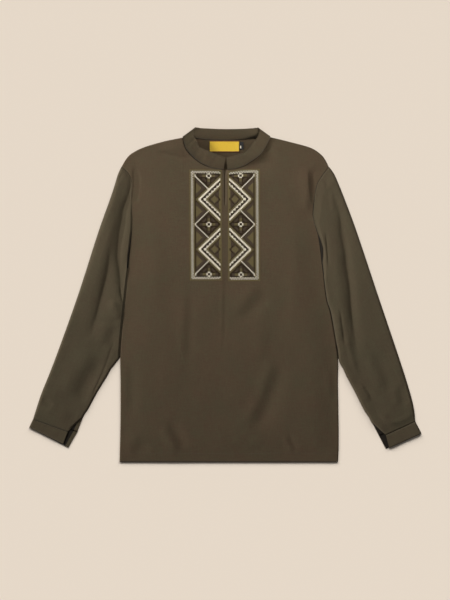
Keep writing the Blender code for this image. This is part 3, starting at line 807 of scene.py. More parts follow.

# %% [markdown]
# The sleeves carry the deepest folds of the shirt. On each, a long roll runs from the top of
# the armhole down the inner half, and it ends in a soft hollow above the cuff. The light comes
# from the left, so the right-hand slope of each roll is the dark one. Beside the body the inner
# edge of a sleeve curls down and leaves a narrow gap, which is wide in some places and nearly
# closed in others. The cloth down in that gap and in the armhole seam is painted near black as
# shade.

# %% The sleeves' creases
LEFT_CREASES = (
    Roll(8.0, 25, 11, ((-208, 304), (-212, 272), (-216, 234), (-224, 210), (-231, 188), (-234, 164),
                       (-238, 142), (-241, 121), (-244, 92), (-243, 73), (-239, 34), (-237, -13))),
    Roll(3.4, 16, 10, ((-258, 120), (-262, 98), (-266, 71), (-270, 45), (-278, 12), (-285, -15),
                       (-292, -45), (-301, -72), (-305, -98))),
    Roll(2.5, 6, 4, ((-239, 24), (-238, 6), (-233, -15), (-228, -26))),
    Crease(2.2, 12, 9, ((-262, -10), (-250, -30), (-243, -58))),
    Fold(2.6, 14, 12, ((-256, -66), (-264, -90), (-273, -118))),
    Fold(5.6, 20, 16, ((-288, -130), (-305, -160), (-324, -190), (-350, -246))),
    Crease(-1.4, 7, 7, ((-415, -234), (-403, -246), (-391, -254))),
    Crease(1.4, 12, 12, ((-420, -258), (-385, -268), (-344, -283))),
    Fold(2.0, 4, 4, ((-236, 282), (-241, 270), (-247, 256))),
    Crease(1.4, 20, 16, ((-243, 236), (-262, 157), (-286, 73), (-308, -2))),
    Roll(1.3, 5, 4, ((-248, -98), (-261, -127), (-272, -160), (-287, -195), (-297, -217),
                     (-302, -237), (-309, -252))),
)
RIGHT_CREASES = (
    Roll(6.0, 20, 11, ((246, 232), (252, 212), (257, 193), (261, 167), (265, 132), (271, 99),
                       (274, 67), (279, 34), (282, 8), (284, -27), (287, -52), (292, -89),
                       (296, -113), (300, -138))),
    Crease(0.9, 5, 5, ((239, 234), (243, 210), (246, 189))),
    Crease(1.4, 7, 7, ((275, -77), (280, -113), (293, -163), (301, -190))),
    Roll(2.4, 7, 5, ((259, -30), (263, -60), (267, -90), (271, -116))),
    Roll(2.0, 10, 8, ((312, -200), (318, -213), (327, -227), (333, -243))),
    Fold(2.6, 10, 10, ((391, -202), (396, -230), (398, -256))),
    Crease(1.8, 7, 7, ((342, -259), (366, -283), (391, -291), (414, -280), (422, -266))),
    Roll(2.8, 8, 5, ((227, 146), (229, 120), (232, 86), (234, 62))),
    Fold(1.8, 4, 4, ((222, 268), (225, 253), (228, 240))),
    Fold(2.4, 12, 12, ((330, -130), (352, -180), (366, -222))),
)
# The width of the gap beside the body, at heights down the picture, all in millimetres
LEFT_GAP = ((150, 0.0), (138, 1.6), (112, 2.8), (88, 4.4), (66, 3.8), (36, 2.8), (0, 1.8), (-24, 1.0),
            (-50, 0.8), (-89, 1.4), (-104, 1.6), (-128, 1.2), (-140, 0.0))
RIGHT_GAP = ((226, 0.0), (212, 1.0), (190, 1.4), (160, 0.6), (140, 1.2), (128, 3.4), (106, 7.0),
             (90, 5.6), (74, 1.8), (0, 1.1), (-60, 1.2), (-106, 1.8), (-124, 2.8), (-140, 1.6),
             (-148, 0.0))
SLEEVE_ROWS = 200
UNDERARM_FAN = 1.8
ARMHOLE_FADE = 0.35          # the share of the sleeve in which the armhole's curve fades out
VENT_START = 0.95            # the share of the sleeve at which its vent opens
SEAM_HEIGHT = 3.1 * MM
CUFF_SEAM_HEIGHT = 3.8 * MM
GAP_REACH = 9 * MM           # how far into the sleeve the gap pushes the cloth aside
SLEEVE_CLEAR = 0.5 * MM      # the seam's width between the outline and the sleeve
SEAM_STEP = 0.2 * MM         # how far the outer fold runs on into a seam
SEAM_DEPTH = 1.0 * MM        # the height down in the armhole seam
SEAM_RUN = 1.6 * MM
BESIDE_BODY = 1.5 * MM
PUFF = 2.6 * MM              # how much fuller a sleeve is than its solid, just inside its folds
PUFF_REACH = 4.5 * MM
SAG = 2.1 * MM               # and how much of that is gone towards its middle
SAG_REACH = 24 * MM
SLEEVE_HOLD_REACH = 10 * MM
CUFF_REACH = 22 * MM
LOWEST_SLEEVE = 2.2 * MM
# Near-black painted shade for the cloth down in the seams, the gap beside the body and the open vent
# and cuff
SEAM_SHADE_BROWN = (0.012, 0.008, 0.0045)
SEAM_SHADE_GREEN = (0.010, 0.008, 0.0045)
seam_shadow = woven_material("cloth down in the seam", SEAM_SHADE_BROWN, SEAM_SHADE_GREEN, 0.95,
                             THREADS_PER_METRE, 0.3, 0.1, 0.4, 0.0)


def armhole_bulge(side):
    """How far the armhole departs from the straight line, at shares of the way down."""
    points = smooth_line(side.armhole, 96)[::-1]
    t = np.linspace(0, 1, len(points))
    depart = points - (points[0] + (points[-1] - points[0]) * t[:, None])
    return lambda s: at_reach(s, t, depart)


def gap_at(gap, y):
    heights, widths = np.array(gap[::-1]).T * MM
    return np.interp(y, heights, widths)


def pushed_aside(plan, side, direction, gap):
    """The sleeve's points, moved away from the body's edge by the gap."""
    body_edge = np.vstack([smooth_line(side.side, 2 * SIDE_ROWS),
                           smooth_line(side.armhole, 2 * ARMHOLE_ROWS)])
    near = np.exp(-(edge_distance(plan.reshape(-1, 2), body_edge) / GAP_REACH) ** 1.5)
    moved = plan.copy()
    moved[..., 0] += direction * gap_at(gap, plan[..., 1]) * near.reshape(plan.shape[:2])
    return moved


def sleeve_layers(side, direction, gap):
    shift = np.array([direction * SLEEVE_CLEAR, 0.0])
    outer = smooth_line(side.outer, SLEEVE_ROWS) + shift
    inner = smooth_line(side.inner, SLEEVE_ROWS, UNDERARM_FAN) + shift
    along = np.linspace(0, 1, SLEEVE_ROWS + 1)
    opening = np.clip((along - VENT_START) / (1 - VENT_START), 0, 1)[:, None]
    upper_inner = inner + (np.array(side.vent) - np.array(side.inner[-1])) * opening
    fade = (1 - ramp(along, ARMHOLE_FADE))[:, None, None]
    depart = armhole_bulge(side)
    bulge = lambda s: depart(s)[None] * fade
    closed = along <= VENT_START + 1e-9
    body_edge = smooth_line(side.side, 4 * SIDE_ROWS)
    beside = edge_distance(inner - shift, body_edge) < BESIDE_BODY
    upper = pushed_aside(layer(outer, upper_inner, bulge, TUBE_COLUMNS), side, direction, gap)
    tuck = (TUCK + gap_at(gap, inner[:, 1])) * beside
    return upper, layer(outer, inner, bulge, UNDER_COLUMNS), closed, tuck


def seam_reach(columns, longest):
    """How far each column runs on into the armhole seam: least at the outer fold."""
    return SEAM_STEP + (longest - SEAM_STEP) * ramp(np.linspace(0, 1, columns), 0.12)


def make_sleeve(name, side, direction, creases, gap, seam_rise, seed):
    upper, lower, closed, tuck = sleeve_layers(side, direction, gap)
    plan = upper.reshape(-1, 2)
    base = relax(height_on(trees[name], plan).reshape(upper.shape[:2]), 50).reshape(-1)
    seam = ramp(distances(upper, upper[:1]).reshape(-1), seam_rise)
    edges = np.minimum(distances(upper, upper[:, :1]), distances(upper, upper[:, -1:])).reshape(-1)
    held = EDGE_HOLD + (1 - EDGE_HOLD) * ramp(edges, SLEEVE_HOLD_REACH)
    shape = crease_heights(plan, creases) * held
    shape += ripple(plan, 60 * MM, 0.9 * MM, seed) + ripple(plan, 18 * MM, 0.25 * MM, seed + 1)
    fuller = PUFF * ramp(edges, PUFF_REACH) - SAG * ramp(edges, SAG_REACH)
    lofted = base + fuller + shape
    cuff = ramp(distances(upper, upper[-1:]).reshape(-1), CUFF_REACH)
    lofted = CUFF_SEAM_HEIGHT + (lofted - CUFF_SEAM_HEIGHT) * cuff
    lofted = SEAM_HEIGHT + (lofted - SEAM_HEIGHT) * seam
    lofted = np.maximum(lofted, LOWEST_SLEEVE).reshape(upper.shape[:2])
    top, bottom = tube_layers(upper, lower, lofted, closed, tuck, -direction)
    under = seam_reach(top.shape[1], SEAM_RUN) + gap_at(gap, top[0, :, 1])
    top = add_seam_row(top, under, SEAM_DEPTH, -direction)
    bottom = add_seam_row(bottom, seam_reach(bottom.shape[1], TUCK), UNDER_HEIGHT + CLOTH)
    bottom[0, 0], bottom[0, -1] = top[0, 0], top[0, -1]
    print(name, "stands", round(1000 * lofted.max(), 1), "mm high")
    piece = tube_object(name + "_linen", top, bottom, [sleeve_linen, seam_shadow], True,
                        slice(int(VENT_START * SLEEVE_ROWS), None), side.dark_until)
    return thicken(piece, CLOTH)


sleeve_left = make_sleeve("sleeve_left", LEFT, -1, LEFT_CREASES, LEFT_GAP, 9 * MM, 11.0)
sleeve_right = make_sleeve("sleeve_right", RIGHT, 1, RIGHT_CREASES, RIGHT_GAP, 30 * MM, 17.0)
print("sleeve faces:", len(sleeve_left.data.polygons), len(sleeve_right.data.polygons))

# %% [markdown]
# A cuff is a narrow doubled band sewn to the sleeve's end. It is made with the same tube, with
# its inner end open all the way, and stands a little higher than the sleeve because it has
# more layers.

# %% The cuffs
CUFF_ROWS = 14
CUFF_HEIGHT = 4.1 * MM
SEAM_GAP = 0.6 * MM
CUFF_LENGTH = 0.036
CUFF_EDGE_DROP = 0.4 * MM
CUFF_EDGE_REACH = 3 * MM
CUFF_SEAM_DEPTH = 1.4 * MM


def make_cuff(name, side, direction, seed):
    shift = np.array([direction * SLEEVE_CLEAR, 0.0])
    seam = np.array([side.outer[-1], side.vent, side.inner[-1]]) + shift
    hem = np.array(side.cuff)
    start = seam + (hem - seam) / np.linalg.norm(hem - seam, axis=1)[:, None] * SEAM_GAP
    v = np.linspace(0, 1, CUFF_ROWS + 1)[:, None]
    outer, upper_inner, lower_inner = [a + (b - a) * v for a, b in zip(start, hem)]
    still = lambda s: np.zeros((1, len(s), 2))
    upper = layer(outer, upper_inner, still, TUBE_COLUMNS)
    lower = layer(outer, lower_inner, still, UNDER_COLUMNS)
    height = CUFF_HEIGHT + ripple(upper.reshape(-1, 2), 30 * MM, 0.6 * MM, seed)
    ends = np.minimum(v, 1 - v) * CUFF_LENGTH
    height = height.reshape(upper.shape[:2]) - CUFF_EDGE_DROP * (1 - ramp(ends, CUFF_EDGE_REACH))
    closed = np.zeros(CUFF_ROWS + 1, bool)
    top, bottom = tube_layers(upper, lower, height, closed, np.zeros(CUFF_ROWS + 1), 0)
    top = top[:, :-1]
    top = add_seam_row(top, np.full(top.shape[1], SEAM_STEP), CUFF_SEAM_DEPTH)
    bottom = add_seam_row(bottom, seam_reach(bottom.shape[1], TUCK), UNDER_HEIGHT + CLOTH)
    bottom[0, 0] = top[0, 0]
    piece = tube_object(name + "_linen", top, bottom, [sleeve_linen, seam_shadow], False,
                        slice(0, None), side.dark_until)
    return thicken(piece, CLOTH), top


cuff_left, left_cuff_top = make_cuff("cuff_left", LEFT, -1, 23.0)
cuff_right, right_cuff_top = make_cuff("cuff_right", RIGHT, 1, 29.0)
print("cuff faces:", len(cuff_left.data.polygons))

# %% [markdown]
# ## The collar
# The stand collar is one stiff band, which runs from one side of the slit round the neck to the
# other. It is given by stations: where it is sewn on, and where its top edge stands. At the
# two neck points it folds back on itself. The wrinkles of a worn-in band run across it.

# %% The collar
Station = namedtuple("Station", "seam_x seam_y seam_z top_x top_y top_z")
COLLAR = (
    Station(-0.0037, 0.2850, 0.0033, 0.0001, 0.3105, 0.0270),
    Station(-0.0244, 0.2870, 0.0033, -0.0140, 0.3162, 0.0240),
    Station(-0.0442, 0.2935, 0.0034, -0.0373, 0.3251, 0.0205),
    Station(-0.0612, 0.3036, 0.0035, -0.0519, 0.3314, 0.0220),
    Station(-0.0754, 0.3154, 0.0037, -0.0612, 0.3370, 0.0250),
    Station(-0.0877, 0.3298, 0.0039, -0.0648, 0.3489, 0.0210),
    Station(-0.0935, 0.3436, 0.0044, -0.0705, 0.3590, 0.0185),
    Station(-0.0956, 0.3540, 0.0047, -0.0722, 0.3712, 0.0170),
    Station(-0.0960, 0.3582, 0.0031, -0.0680, 0.3785, 0.0128),
    Station(-0.0925, 0.3582, 0.0024, -0.0630, 0.3787, 0.0120),
    Station(-0.0700, 0.3559, 0.0022, -0.0545, 0.3772, 0.0205),
    Station(-0.0400, 0.3531, 0.0022, -0.0330, 0.3752, 0.0270),
    Station(0.0000, 0.3519, 0.0022, 0.0060, 0.3743, 0.0290),
    Station(0.0420, 0.3533, 0.0022, 0.0440, 0.3752, 0.0270),
    Station(0.0750, 0.3562, 0.0022, 0.0605, 0.3768, 0.0205),
    Station(0.0980, 0.3590, 0.0024, 0.0695, 0.3780, 0.0120),
    Station(0.1015, 0.3590, 0.0031, 0.0750, 0.3778, 0.0128),
    Station(0.1010, 0.3548, 0.0047, 0.0770, 0.3707, 0.0170),
    Station(0.0955, 0.3436, 0.0044, 0.0720, 0.3560, 0.0185),
    Station(0.0860, 0.3268, 0.0039, 0.0620, 0.3445, 0.0205),
    Station(0.0746, 0.3138, 0.0037, 0.0545, 0.3320, 0.0250),
    Station(0.0590, 0.3036, 0.0035, 0.0450, 0.3235, 0.0280),
    Station(0.0420, 0.2930, 0.0034, 0.0310, 0.3175, 0.0270),
    Station(0.0235, 0.2870, 0.0033, 0.0162, 0.3142, 0.0250),
    Station(0.0044, 0.2850, 0.0033, 0.0024, 0.3105, 0.0270),
)
COLLAR_STEPS = 12            # columns between two stations
COLLAR_ROWS = 16
COLLAR_THICK = 1.5 * MM
COLLAR_WIDE = 0.037
COLLAR_ROLL = 0.18           # how far the band rises steeply first and leans over later
# Wrinkles across the band: place between the stations, lean up the band, width, depth
COLLAR_WRINKLES = ((1.4, 0.3, 0.20, -1.9), (2.0, -0.2, 0.30, 1.5), (2.7, 0.3, 0.22, -1.7),
                   (3.6, 0.2, 0.25, -2.0), (4.3, 0.2, 0.25, 1.3), (5.2, -0.3, 0.25, -1.8),
                   (11.2, 0.4, 0.4, -1.0), (13.4, -0.4, 0.4, -1.0), (19.3, 0.3, 0.25, -1.6),
                   (20.2, 0.2, 0.25, 1.4), (21.0, -0.3, 0.25, -1.5), (22.4, 0.2, 0.3, 1.0))


def collar_points():
    rows = np.array(COLLAR)
    count = COLLAR_STEPS * (len(rows) - 1)
    where = np.linspace(0, len(rows) - 1, count + 1)
    marks = with_end_marks(rows)
    low = np.minimum(where.astype(int), len(rows) - 2)
    line = between_marks(*[marks[low + k] for k in range(4)], (where - low)[:, None])
    up = np.linspace(0, 1, COLLAR_ROWS + 1)[:, None, None]
    band = line[None, :, :3] + (line[None, :, 3:] - line[None, :, :3]) * up
    rise = (line[None, :, 5] - line[None, :, 2]) * COLLAR_ROLL
    band[..., 2] += rise * (np.sin(math.pi * up[..., 0] ** 0.8) * 0.8)
    around = np.gradient(band, axis=1)
    upward = np.gradient(band, axis=0)
    normal = np.cross(around, upward)
    normal /= np.linalg.norm(normal, axis=-1)[..., None]
    push = 0.0
    for place, lean, width, depth in COLLAR_WRINKLES:
        off = (where[None] + lean * up[..., 0] - place) / width
        push = push + depth * MM * np.exp(-off ** 2) * (0.25 + 0.75 * up[..., 0])
    return band + normal * np.asarray(push)[..., None], normal


collar_band, collar_normal = collar_points()
run_along = reach_along(collar_band[0])[None]
run_up = np.linspace(0, COLLAR_WIDE, COLLAR_ROWS + 1)[:, None]
collar_grain = np.stack(np.broadcast_arrays(run_along, run_up), -1)
collar = cloth_object("collar_linen", collar_band.reshape(-1, 3), grid_faces(*collar_band.shape[:2]),
                      collar_grain.reshape(-1, 2), [collar_linen])
thicken(collar, COLLAR_THICK, 0.0)
print("collar faces:", len(collar.data.polygons))

# %% [markdown]
# ## Thread
# Every stitch is a short strand of thread that comes up out of the cloth, arches over it and
# goes down again. One helper makes thousands of them at once with arrays: the strand is half a
# tube, a few faces long and three faces round, which is enough from any distance.

# %% Strands of thread
STRAND_STEPS = 3
STRAND_SIDES = 3
TWIST_SCALE = 900.0
THREAD_SHADE = 0.8           # a thread's middle shade
THREAD_TWIST = 0.56          # how much its twist lightens and darkens it
THREAD_RELIEF = 0.0001       # metres


def strands(starts, ends, ups, width, rise, sink=0.15 * MM):
    """Half tubes from starts to ends. Gives points and faces, strand by strand."""
    t = np.linspace(0, 1, STRAND_STEPS + 1)
    arch = np.sin(math.pi * t) ** 0.7
    turn = np.linspace(0, math.pi, STRAND_SIDES + 1)
    along = ends - starts
    across = np.cross(along, ups)
    across /= np.linalg.norm(across, axis=1)[:, None]
    middle = starts[:, None] + along[:, None] * t[None, :, None]
    lift = -sink + (rise + sink) * arch
    middle = middle + ups[:, None] * lift[None, :, None]
    radius = (width / 2) * (0.55 + 0.45 * arch)
    side = across[:, None, None] * (radius[:, None] * np.cos(turn))[None, :, :, None]
    height = ups[:, None, None] * (0.7 * radius[:, None] * np.sin(turn))[None, :, :, None]
    points = (middle[:, :, None] + side + height).reshape(-1, 3)
    ring = (STRAND_STEPS + 1) * (STRAND_SIDES + 1)
    one = grid_faces(STRAND_STEPS + 1, STRAND_SIDES + 1)
    faces = (one[None] + ring * np.arange(len(starts))[:, None, None]).reshape(-1, 4)
    return points, faces


def thread_material(name, colour, roughness=0.62, sheen=0.2):
    made, tree, shader = new_material(name, roughness, sheen)
    shader.inputs["Specular IOR Level"].default_value = 0.1 + 0.6 * sheen
    place = tree.nodes.new("ShaderNodeTexCoord")
    twist = noise_at(tree, place.outputs["Object"], TWIST_SCALE, EVEN)
    shade = math_node(tree, "ADD", THREAD_SHADE, math_node(tree, "MULTIPLY", twist, THREAD_TWIST))
    tree.links.new(scaled_colour(tree, colour, shade), shader.inputs["Base Color"])
    add_bump(tree, shader, twist, 0.4, THREAD_RELIEF)
    return made


print("faces in one strand:", STRAND_STEPS * STRAND_SIDES)

# %% [markdown]
# ## The embroidery
# Two panels of counted cross-stitch face each other across the slit, each the mirror image of
# the other. They are charted here by rule, as an embroiderer counts them: a is the number of
# stitches from the slit outwards and b the number of stitches up from the panel's middle row.
# A zigzag of single white stitches frames the panel on three sides, all but the slit's. Inside
# it stand two broad white chevrons whose tips point outwards, each with a dark stair down its
# middle and a small diamond behind it, and between them rosettes in diamonds.

# %% The chart
PANEL_WIDE = 25
PANEL_HIGH = 89
HALF_HIGH = PANEL_HIGH // 2
TIP_ROWS = (20.5, -19.5)     # the rows at which the chevrons' tips point
ROSETTE_ROWS = (39.5, 0.5, -39.5)
ROSETTE_A = 9.5
RING = 2.1                   # the white ring's outer radius, in stitches
STAIR = 14                   # from the slit to the dark stair inside the chevron, at its tip
DIAMOND_A = 5
DIAMOND_EDGE = 11            # from a rosette's middle to the thin white line round it
WHITE, DARK, GOLD, GREY, DOT = range(5)


def rosette(x, y):
    """A white ring with a dark eye, four golden arms, and a grey leaf between every two."""
    reach = math.hypot(x, y)
    if reach < RING:
        return WHITE if reach > 1.2 else DARK
    short, far = sorted((abs(x), abs(y)))
    if short < 1 and far < 7:
        return GOLD if far < 5 else GREY
    return GREY if short > 2 and 5.5 < short + far < 7.6 else DARK


def frame_stitch(a, b):
    """The panel's frame: a golden line, the white zigzag, and a dark line within."""
    if a in (0, PANEL_WIDE - 1) or abs(b) == HALF_HIGH:
        return GOLD
    if a >= PANEL_WIDE - 3 or abs(b) >= HALF_HIGH - 2:
        return DOT if (a + b) % 2 else DARK
    if a == PANEL_WIDE - 4:
        return GOLD
    if a == PANEL_WIDE - 5 or abs(b) == HALF_HIGH - 3:
        return DARK
    return None


def chevron_stitch(band, wide_row):
    """A dark stair with white on both sides, golden edges and dark outlines.

    On wide rows, every second one, the stair is a stitch wider, which gives it its steps.
    """
    if band in (STAIR, STAIR + 1) or wide_row and band == STAIR - 1:
        return DARK
    if STAIR - 2 <= band <= STAIR + 3:
        return WHITE
    if STAIR - 4 <= band < STAIR or STAIR < band <= STAIR + 5:
        return GOLD
    return DARK if band in (STAIR - 5, STAIR + 6) else None


def chart(a, b):
    across = a - ROSETTE_A
    up = abs(b - min(ROSETTE_ROWS, key=lambda row: abs(b - row)))
    from_tip = min(abs(b - row) for row in TIP_ROWS) - 0.5
    band = a + from_tip
    diamond = int(abs(across) + up)
    if math.hypot(across, up) < RING and abs(b) < HALF_HIGH - 2:
        return rosette(across, up)
    if diamond == DIAMOND_EDGE and across > 0 and band > STAIR and abs(b) < HALF_HIGH - 3:
        return WHITE
    framed = frame_stitch(a, b)
    if framed is not None:
        return framed
    chevron = chevron_stitch(band, from_tip % 2 == 1)
    if chevron is not None:
        return chevron
    if band < STAIR:
        inside = abs(a - DIAMOND_A) + from_tip
        if inside < 4:
            return GREY if inside == 3 else GOLD
        return DARK if inside == 4 else GOLD if a <= 1 else GREY
    if diamond < DIAMOND_EDGE - 1:
        return rosette(across, up)
    if diamond <= DIAMOND_EDGE + 1:
        return DARK
    from_outlines = min(band - STAIR - 6, diamond - DIAMOND_EDGE - 1)
    return GOLD if from_outlines > 3 else GREY


counts = [sum(chart(a, b) == look for a in range(PANEL_WIDE) for b in range(-HALF_HIGH, HALF_HIGH + 1))
          for look in (WHITE, DARK, GOLD, GREY, DOT)]
print("stitches of white, dark, gold, grey and the zigzag's white in a panel:", counts)

# %% [markdown]
# Each charted stitch is a cross of two legs, and each leg is two strands of floss side by side.
# Their ends are set on the front's own surface with a ray from above, so the embroidery follows
# the cloth. The single stitches of the zigzag have shorter legs, so that they stay apart. Near
# the slit the collar seam drags the right panel's upper corner down a little.

# %% Stitch the panels
Panel = namedtuple("Panel", "inner_top inner_bottom outer_top outer_bottom top bottom drag")
PANELS = {
    "embroidery_left": Panel(-8.5, -8.0, -81.3, -79.9, 284.0, 32.4, 0.9),       # millimetres
    "embroidery_right": Panel(5.6, 7.3, 78.0, 78.9, 285.4, 31.2, 4.6),
}
FLOSS = 0.80 * MM
LEG_INSET = 0.12             # the share of a leg by which it stops short of its corners
DOT_INSET = 0.15
LEG_HEIGHT = 0.10            # millimetres above the cloth, for the first leg of a cross
LEG_OVER = 0.22              # millimetres more for the second leg, which lies over the first
STRANDS_APART = 0.45         # of a strand's width, from a leg's middle
FLOSS_RISE = 0.25 * MM
DRAG_COLUMNS = 9
DRAG_ROWS = 7
thread_looks = [
    thread_material("white floss", (0.90, 0.82, 0.64)),
    thread_material("dark floss", (0.016, 0.009, 0.0035), 0.9, 0.0),
    thread_material("olive gold floss", (0.140, 0.108, 0.040), 0.8, 0.05),
    thread_material("brown grey floss", (0.054, 0.036, 0.023), 0.8, 0.05),
]


def surface_tree(piece):
    return BVHTree.FromObject(piece, bpy.context.evaluated_depsgraph_get())


def panel_place(a, b, panel):
    """Where the corner between stitches lies on the shirt."""
    v = (b + HALF_HIGH) / PANEL_HIGH
    u = a / PANEL_WIDE
    inner = panel.inner_bottom + (panel.inner_top - panel.inner_bottom) * v
    outer = panel.outer_bottom + (panel.outer_top - panel.outer_bottom) * v
    drag = panel.drag * math.exp(-(a / DRAG_COLUMNS) ** 2 - ((1 - v) * PANEL_HIGH / DRAG_ROWS) ** 2)
    y = panel.bottom + (panel.top - panel.bottom) * v - drag
    return (inner + (outer - inner) * u) * MM, y * MM


def stitch_panel(name, panel, tree):
    corners = {}
    for a in range(PANEL_WIDE + 1):
        for b in range(-HALF_HIGH, HALF_HIGH + 2):
            x, y = panel_place(a, b, panel)
            corners[a, b] = [np.array(found) for found in ray_down(tree, x, y)]
    starts, ends, ups, looks = [], [], [], []
    for a in range(PANEL_WIDE):
        for b in range(-HALF_HIGH, HALF_HIGH + 1):
            look = chart(a, b)
            inset_share = DOT_INSET if look == DOT else LEG_INSET
            legs = (((a, b), (a + 1, b + 1)), ((a + 1, b), (a, b + 1)))
            for order, (here, there) in enumerate(legs):
                up = corners[here][1] + corners[there][1]
                up /= np.linalg.norm(up)
                across = np.cross(corners[there][0] - corners[here][0], up)
                across *= STRANDS_APART * FLOSS / np.linalg.norm(across)
                lift = up * (LEG_HEIGHT + LEG_OVER * order) * MM
                inset = inset_share * (corners[there][0] - corners[here][0])
                for side in (-1, 1):
                    starts.append(corners[here][0] + inset + lift + side * across)
                    ends.append(corners[there][0] - inset + lift + side * across)
                    ups.append(up)
                    looks.append(WHITE if look == DOT else look)
    points, faces = strands(np.array(starts), np.array(ends), np.array(ups), FLOSS, FLOSS_RISE)
    face_looks = np.repeat(looks, STRAND_STEPS * STRAND_SIDES)
    return cloth_object(name, points, faces, None, thread_looks, face_looks, join=False)


front_tree = surface_tree(front)
embroidery = [stitch_panel(name, panel, front_tree) for name, panel in PANELS.items()]
print("embroidery faces:", [len(piece.data.polygons) for piece in embroidery])

# %% [markdown]
# ## Seams and topstitching
# A sewing machine leaves a row of short stitches a few millimetres from each finished edge:
# along the hem, round the collar, beside the slit and on the cuffs. A line of points on the
# cloth is cut into stitches with a small gap between them, and each becomes one strand.

# %% Machine stitches
STITCH = 2.6 * MM
STITCH_GAP = 0.5 * MM
SEWING_THREAD = 0.45 * MM
sewing_thread = thread_material("sewing thread", (0.085, 0.068, 0.040))


def on_surface(tree, plan):
    points, ups = [], []
    for x, y in np.asarray(plan)[:, :2].tolist():
        hit, up = ray_down(tree, x, y)
        if hit is not None:
            points.append(hit)
            ups.append(up)
    return np.array(points), np.array(ups)


def row_of_stitches(line, ups):
    """Cuts a line of points, with their upward directions, into stitches."""
    reach = reach_along(line)
    count = max(int(reach[-1] / STITCH), 1)
    begin = np.arange(count) * reach[-1] / count
    finish = begin + reach[-1] / count - STITCH_GAP
    return (at_reach(begin, reach, line), at_reach(finish, reach, line),
            at_reach((begin + finish) / 2, reach, ups))


def sew(name, rows):
    starts, ends, ups = (np.concatenate(part) for part in zip(*rows))
    ups = ups / np.linalg.norm(ups, axis=1)[:, None]
    points, faces = strands(starts, ends, ups, SEWING_THREAD, 0.12 * MM, 0.1 * MM)
    return cloth_object(name, points, faces, None, [sewing_thread], join=False)


def inset_rows(plan, row, share):
    """A line between two rows of a grid."""
    return plan[row] + (plan[row + 1] - plan[row]) * share


HEM_WIDTH = 20 * MM
BELOW_SLIT = 6 * MM
BELOW_NECK = 3 * MM
BESIDE_SLIT = 2.2 * MM
hem_row = HEM_WIDTH / np.linalg.norm(front_plan[1, 0] - front_plan[0, 0])
hem_line = inset_rows(front_plan, int(hem_row), hem_row % 1)
body_rows = [row_of_stitches(*on_surface(front_tree, hem_line))]
for direction in (-1, 1):
    slit_y = np.linspace(SLIT_END_Y - BELOW_SLIT, NECK_FRONT_Y - BELOW_NECK, 60)
    slit_x = CENTRE_X + direction * (slit_half_width(slit_y) + BESIDE_SLIT)
    body_rows.append(row_of_stitches(*on_surface(front_tree, np.column_stack([slit_x, slit_y]))))
body_stitches = sew("body_stitches", body_rows)

cuff_rows = {}
for name, piece, top in (("left", cuff_left, left_cuff_top), ("right", cuff_right, right_cuff_top)):
    tree = surface_tree(piece)
    lines = [inset_rows(top[:, 3:-3], row, 0.5) for row in (1, CUFF_ROWS - 2)]
    cuff_rows[name] = sew("cuff_stitches_" + name,
                          [row_of_stitches(*on_surface(tree, line)) for line in lines])

collar_rows = []
for row in (1, COLLAR_ROWS - 2):
    for face in (-1, 1):
        normal = collar_normal[row] * face
        line = collar_band[row] + normal * COLLAR_THICK / 2
        collar_rows.append(row_of_stitches(line[3:-3], normal[3:-3]))
collar_stitches = sew("collar_stitches", collar_rows)
print("stitch faces:", len(body_stitches.data.polygons), len(collar_stitches.data.polygons))

# %% [markdown]
# ## The label and the small tab
# Inside the back neck lies a bright yellow woven label, bare here, with its two ends folded
# under and a thin dark red line woven along its long edges; along the lower edge that line is
# also painted shadow. Beside it a small black tab is caught in the seam with a pale bar tack.

# %% Label and tab
LABEL_ROWS = 26
LABEL_COLUMNS = 66
TAPE_THREADS = 3600.0        # in a metre
TAPE_THICK = 0.5 * MM
TACK_STITCHES = 8


def tape_object(name, node, looks, lift, rows, columns, line_rows=()):
    low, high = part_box(node)
    x = np.linspace(low.x, high.x, columns + 1)
    y = np.linspace(low.y, high.y, rows + 1)
    plan = np.stack(np.meshgrid(x, y), -1)
    u = np.linspace(-1, 1, columns + 1)[None]
    v = np.linspace(-1, 1, rows + 1)[:, None]
    z = high.z + lift * (u ** 4 + 0.4 * np.abs(v) ** 3) + ripple(
        plan.reshape(-1, 2), 12 * MM, 0.25 * MM, 41.0).reshape(rows + 1, columns + 1)
    points = flat_points(plan, z)
    kinds = np.zeros((rows, columns), int)
    for row in line_rows:
        kinds[row] = 1
    return cloth_object(name, points, grid_faces(rows + 1, columns + 1), plan.reshape(-1, 2), looks,
                        kinds.reshape(-1))


yellow_tape = woven_material("yellow woven tape", (0.62, 0.39, 0.022), (0.57, 0.37, 0.024), 0.55,
                             TAPE_THREADS, 0.05, 0.04, 0.4, 0.1)
red_line_and_edge_shadow = woven_material("dark red woven line", (0.10, 0.030, 0.010), (0.12, 0.040, 0.012), 0.6,
                          TAPE_THREADS, 0.05, 0.04, 0.4)
black_tape = woven_material("black woven tape", (0.010, 0.010, 0.010), (0.014, 0.013, 0.012), 0.6,
                            TAPE_THREADS, 0.08, 0.05, 0.4)
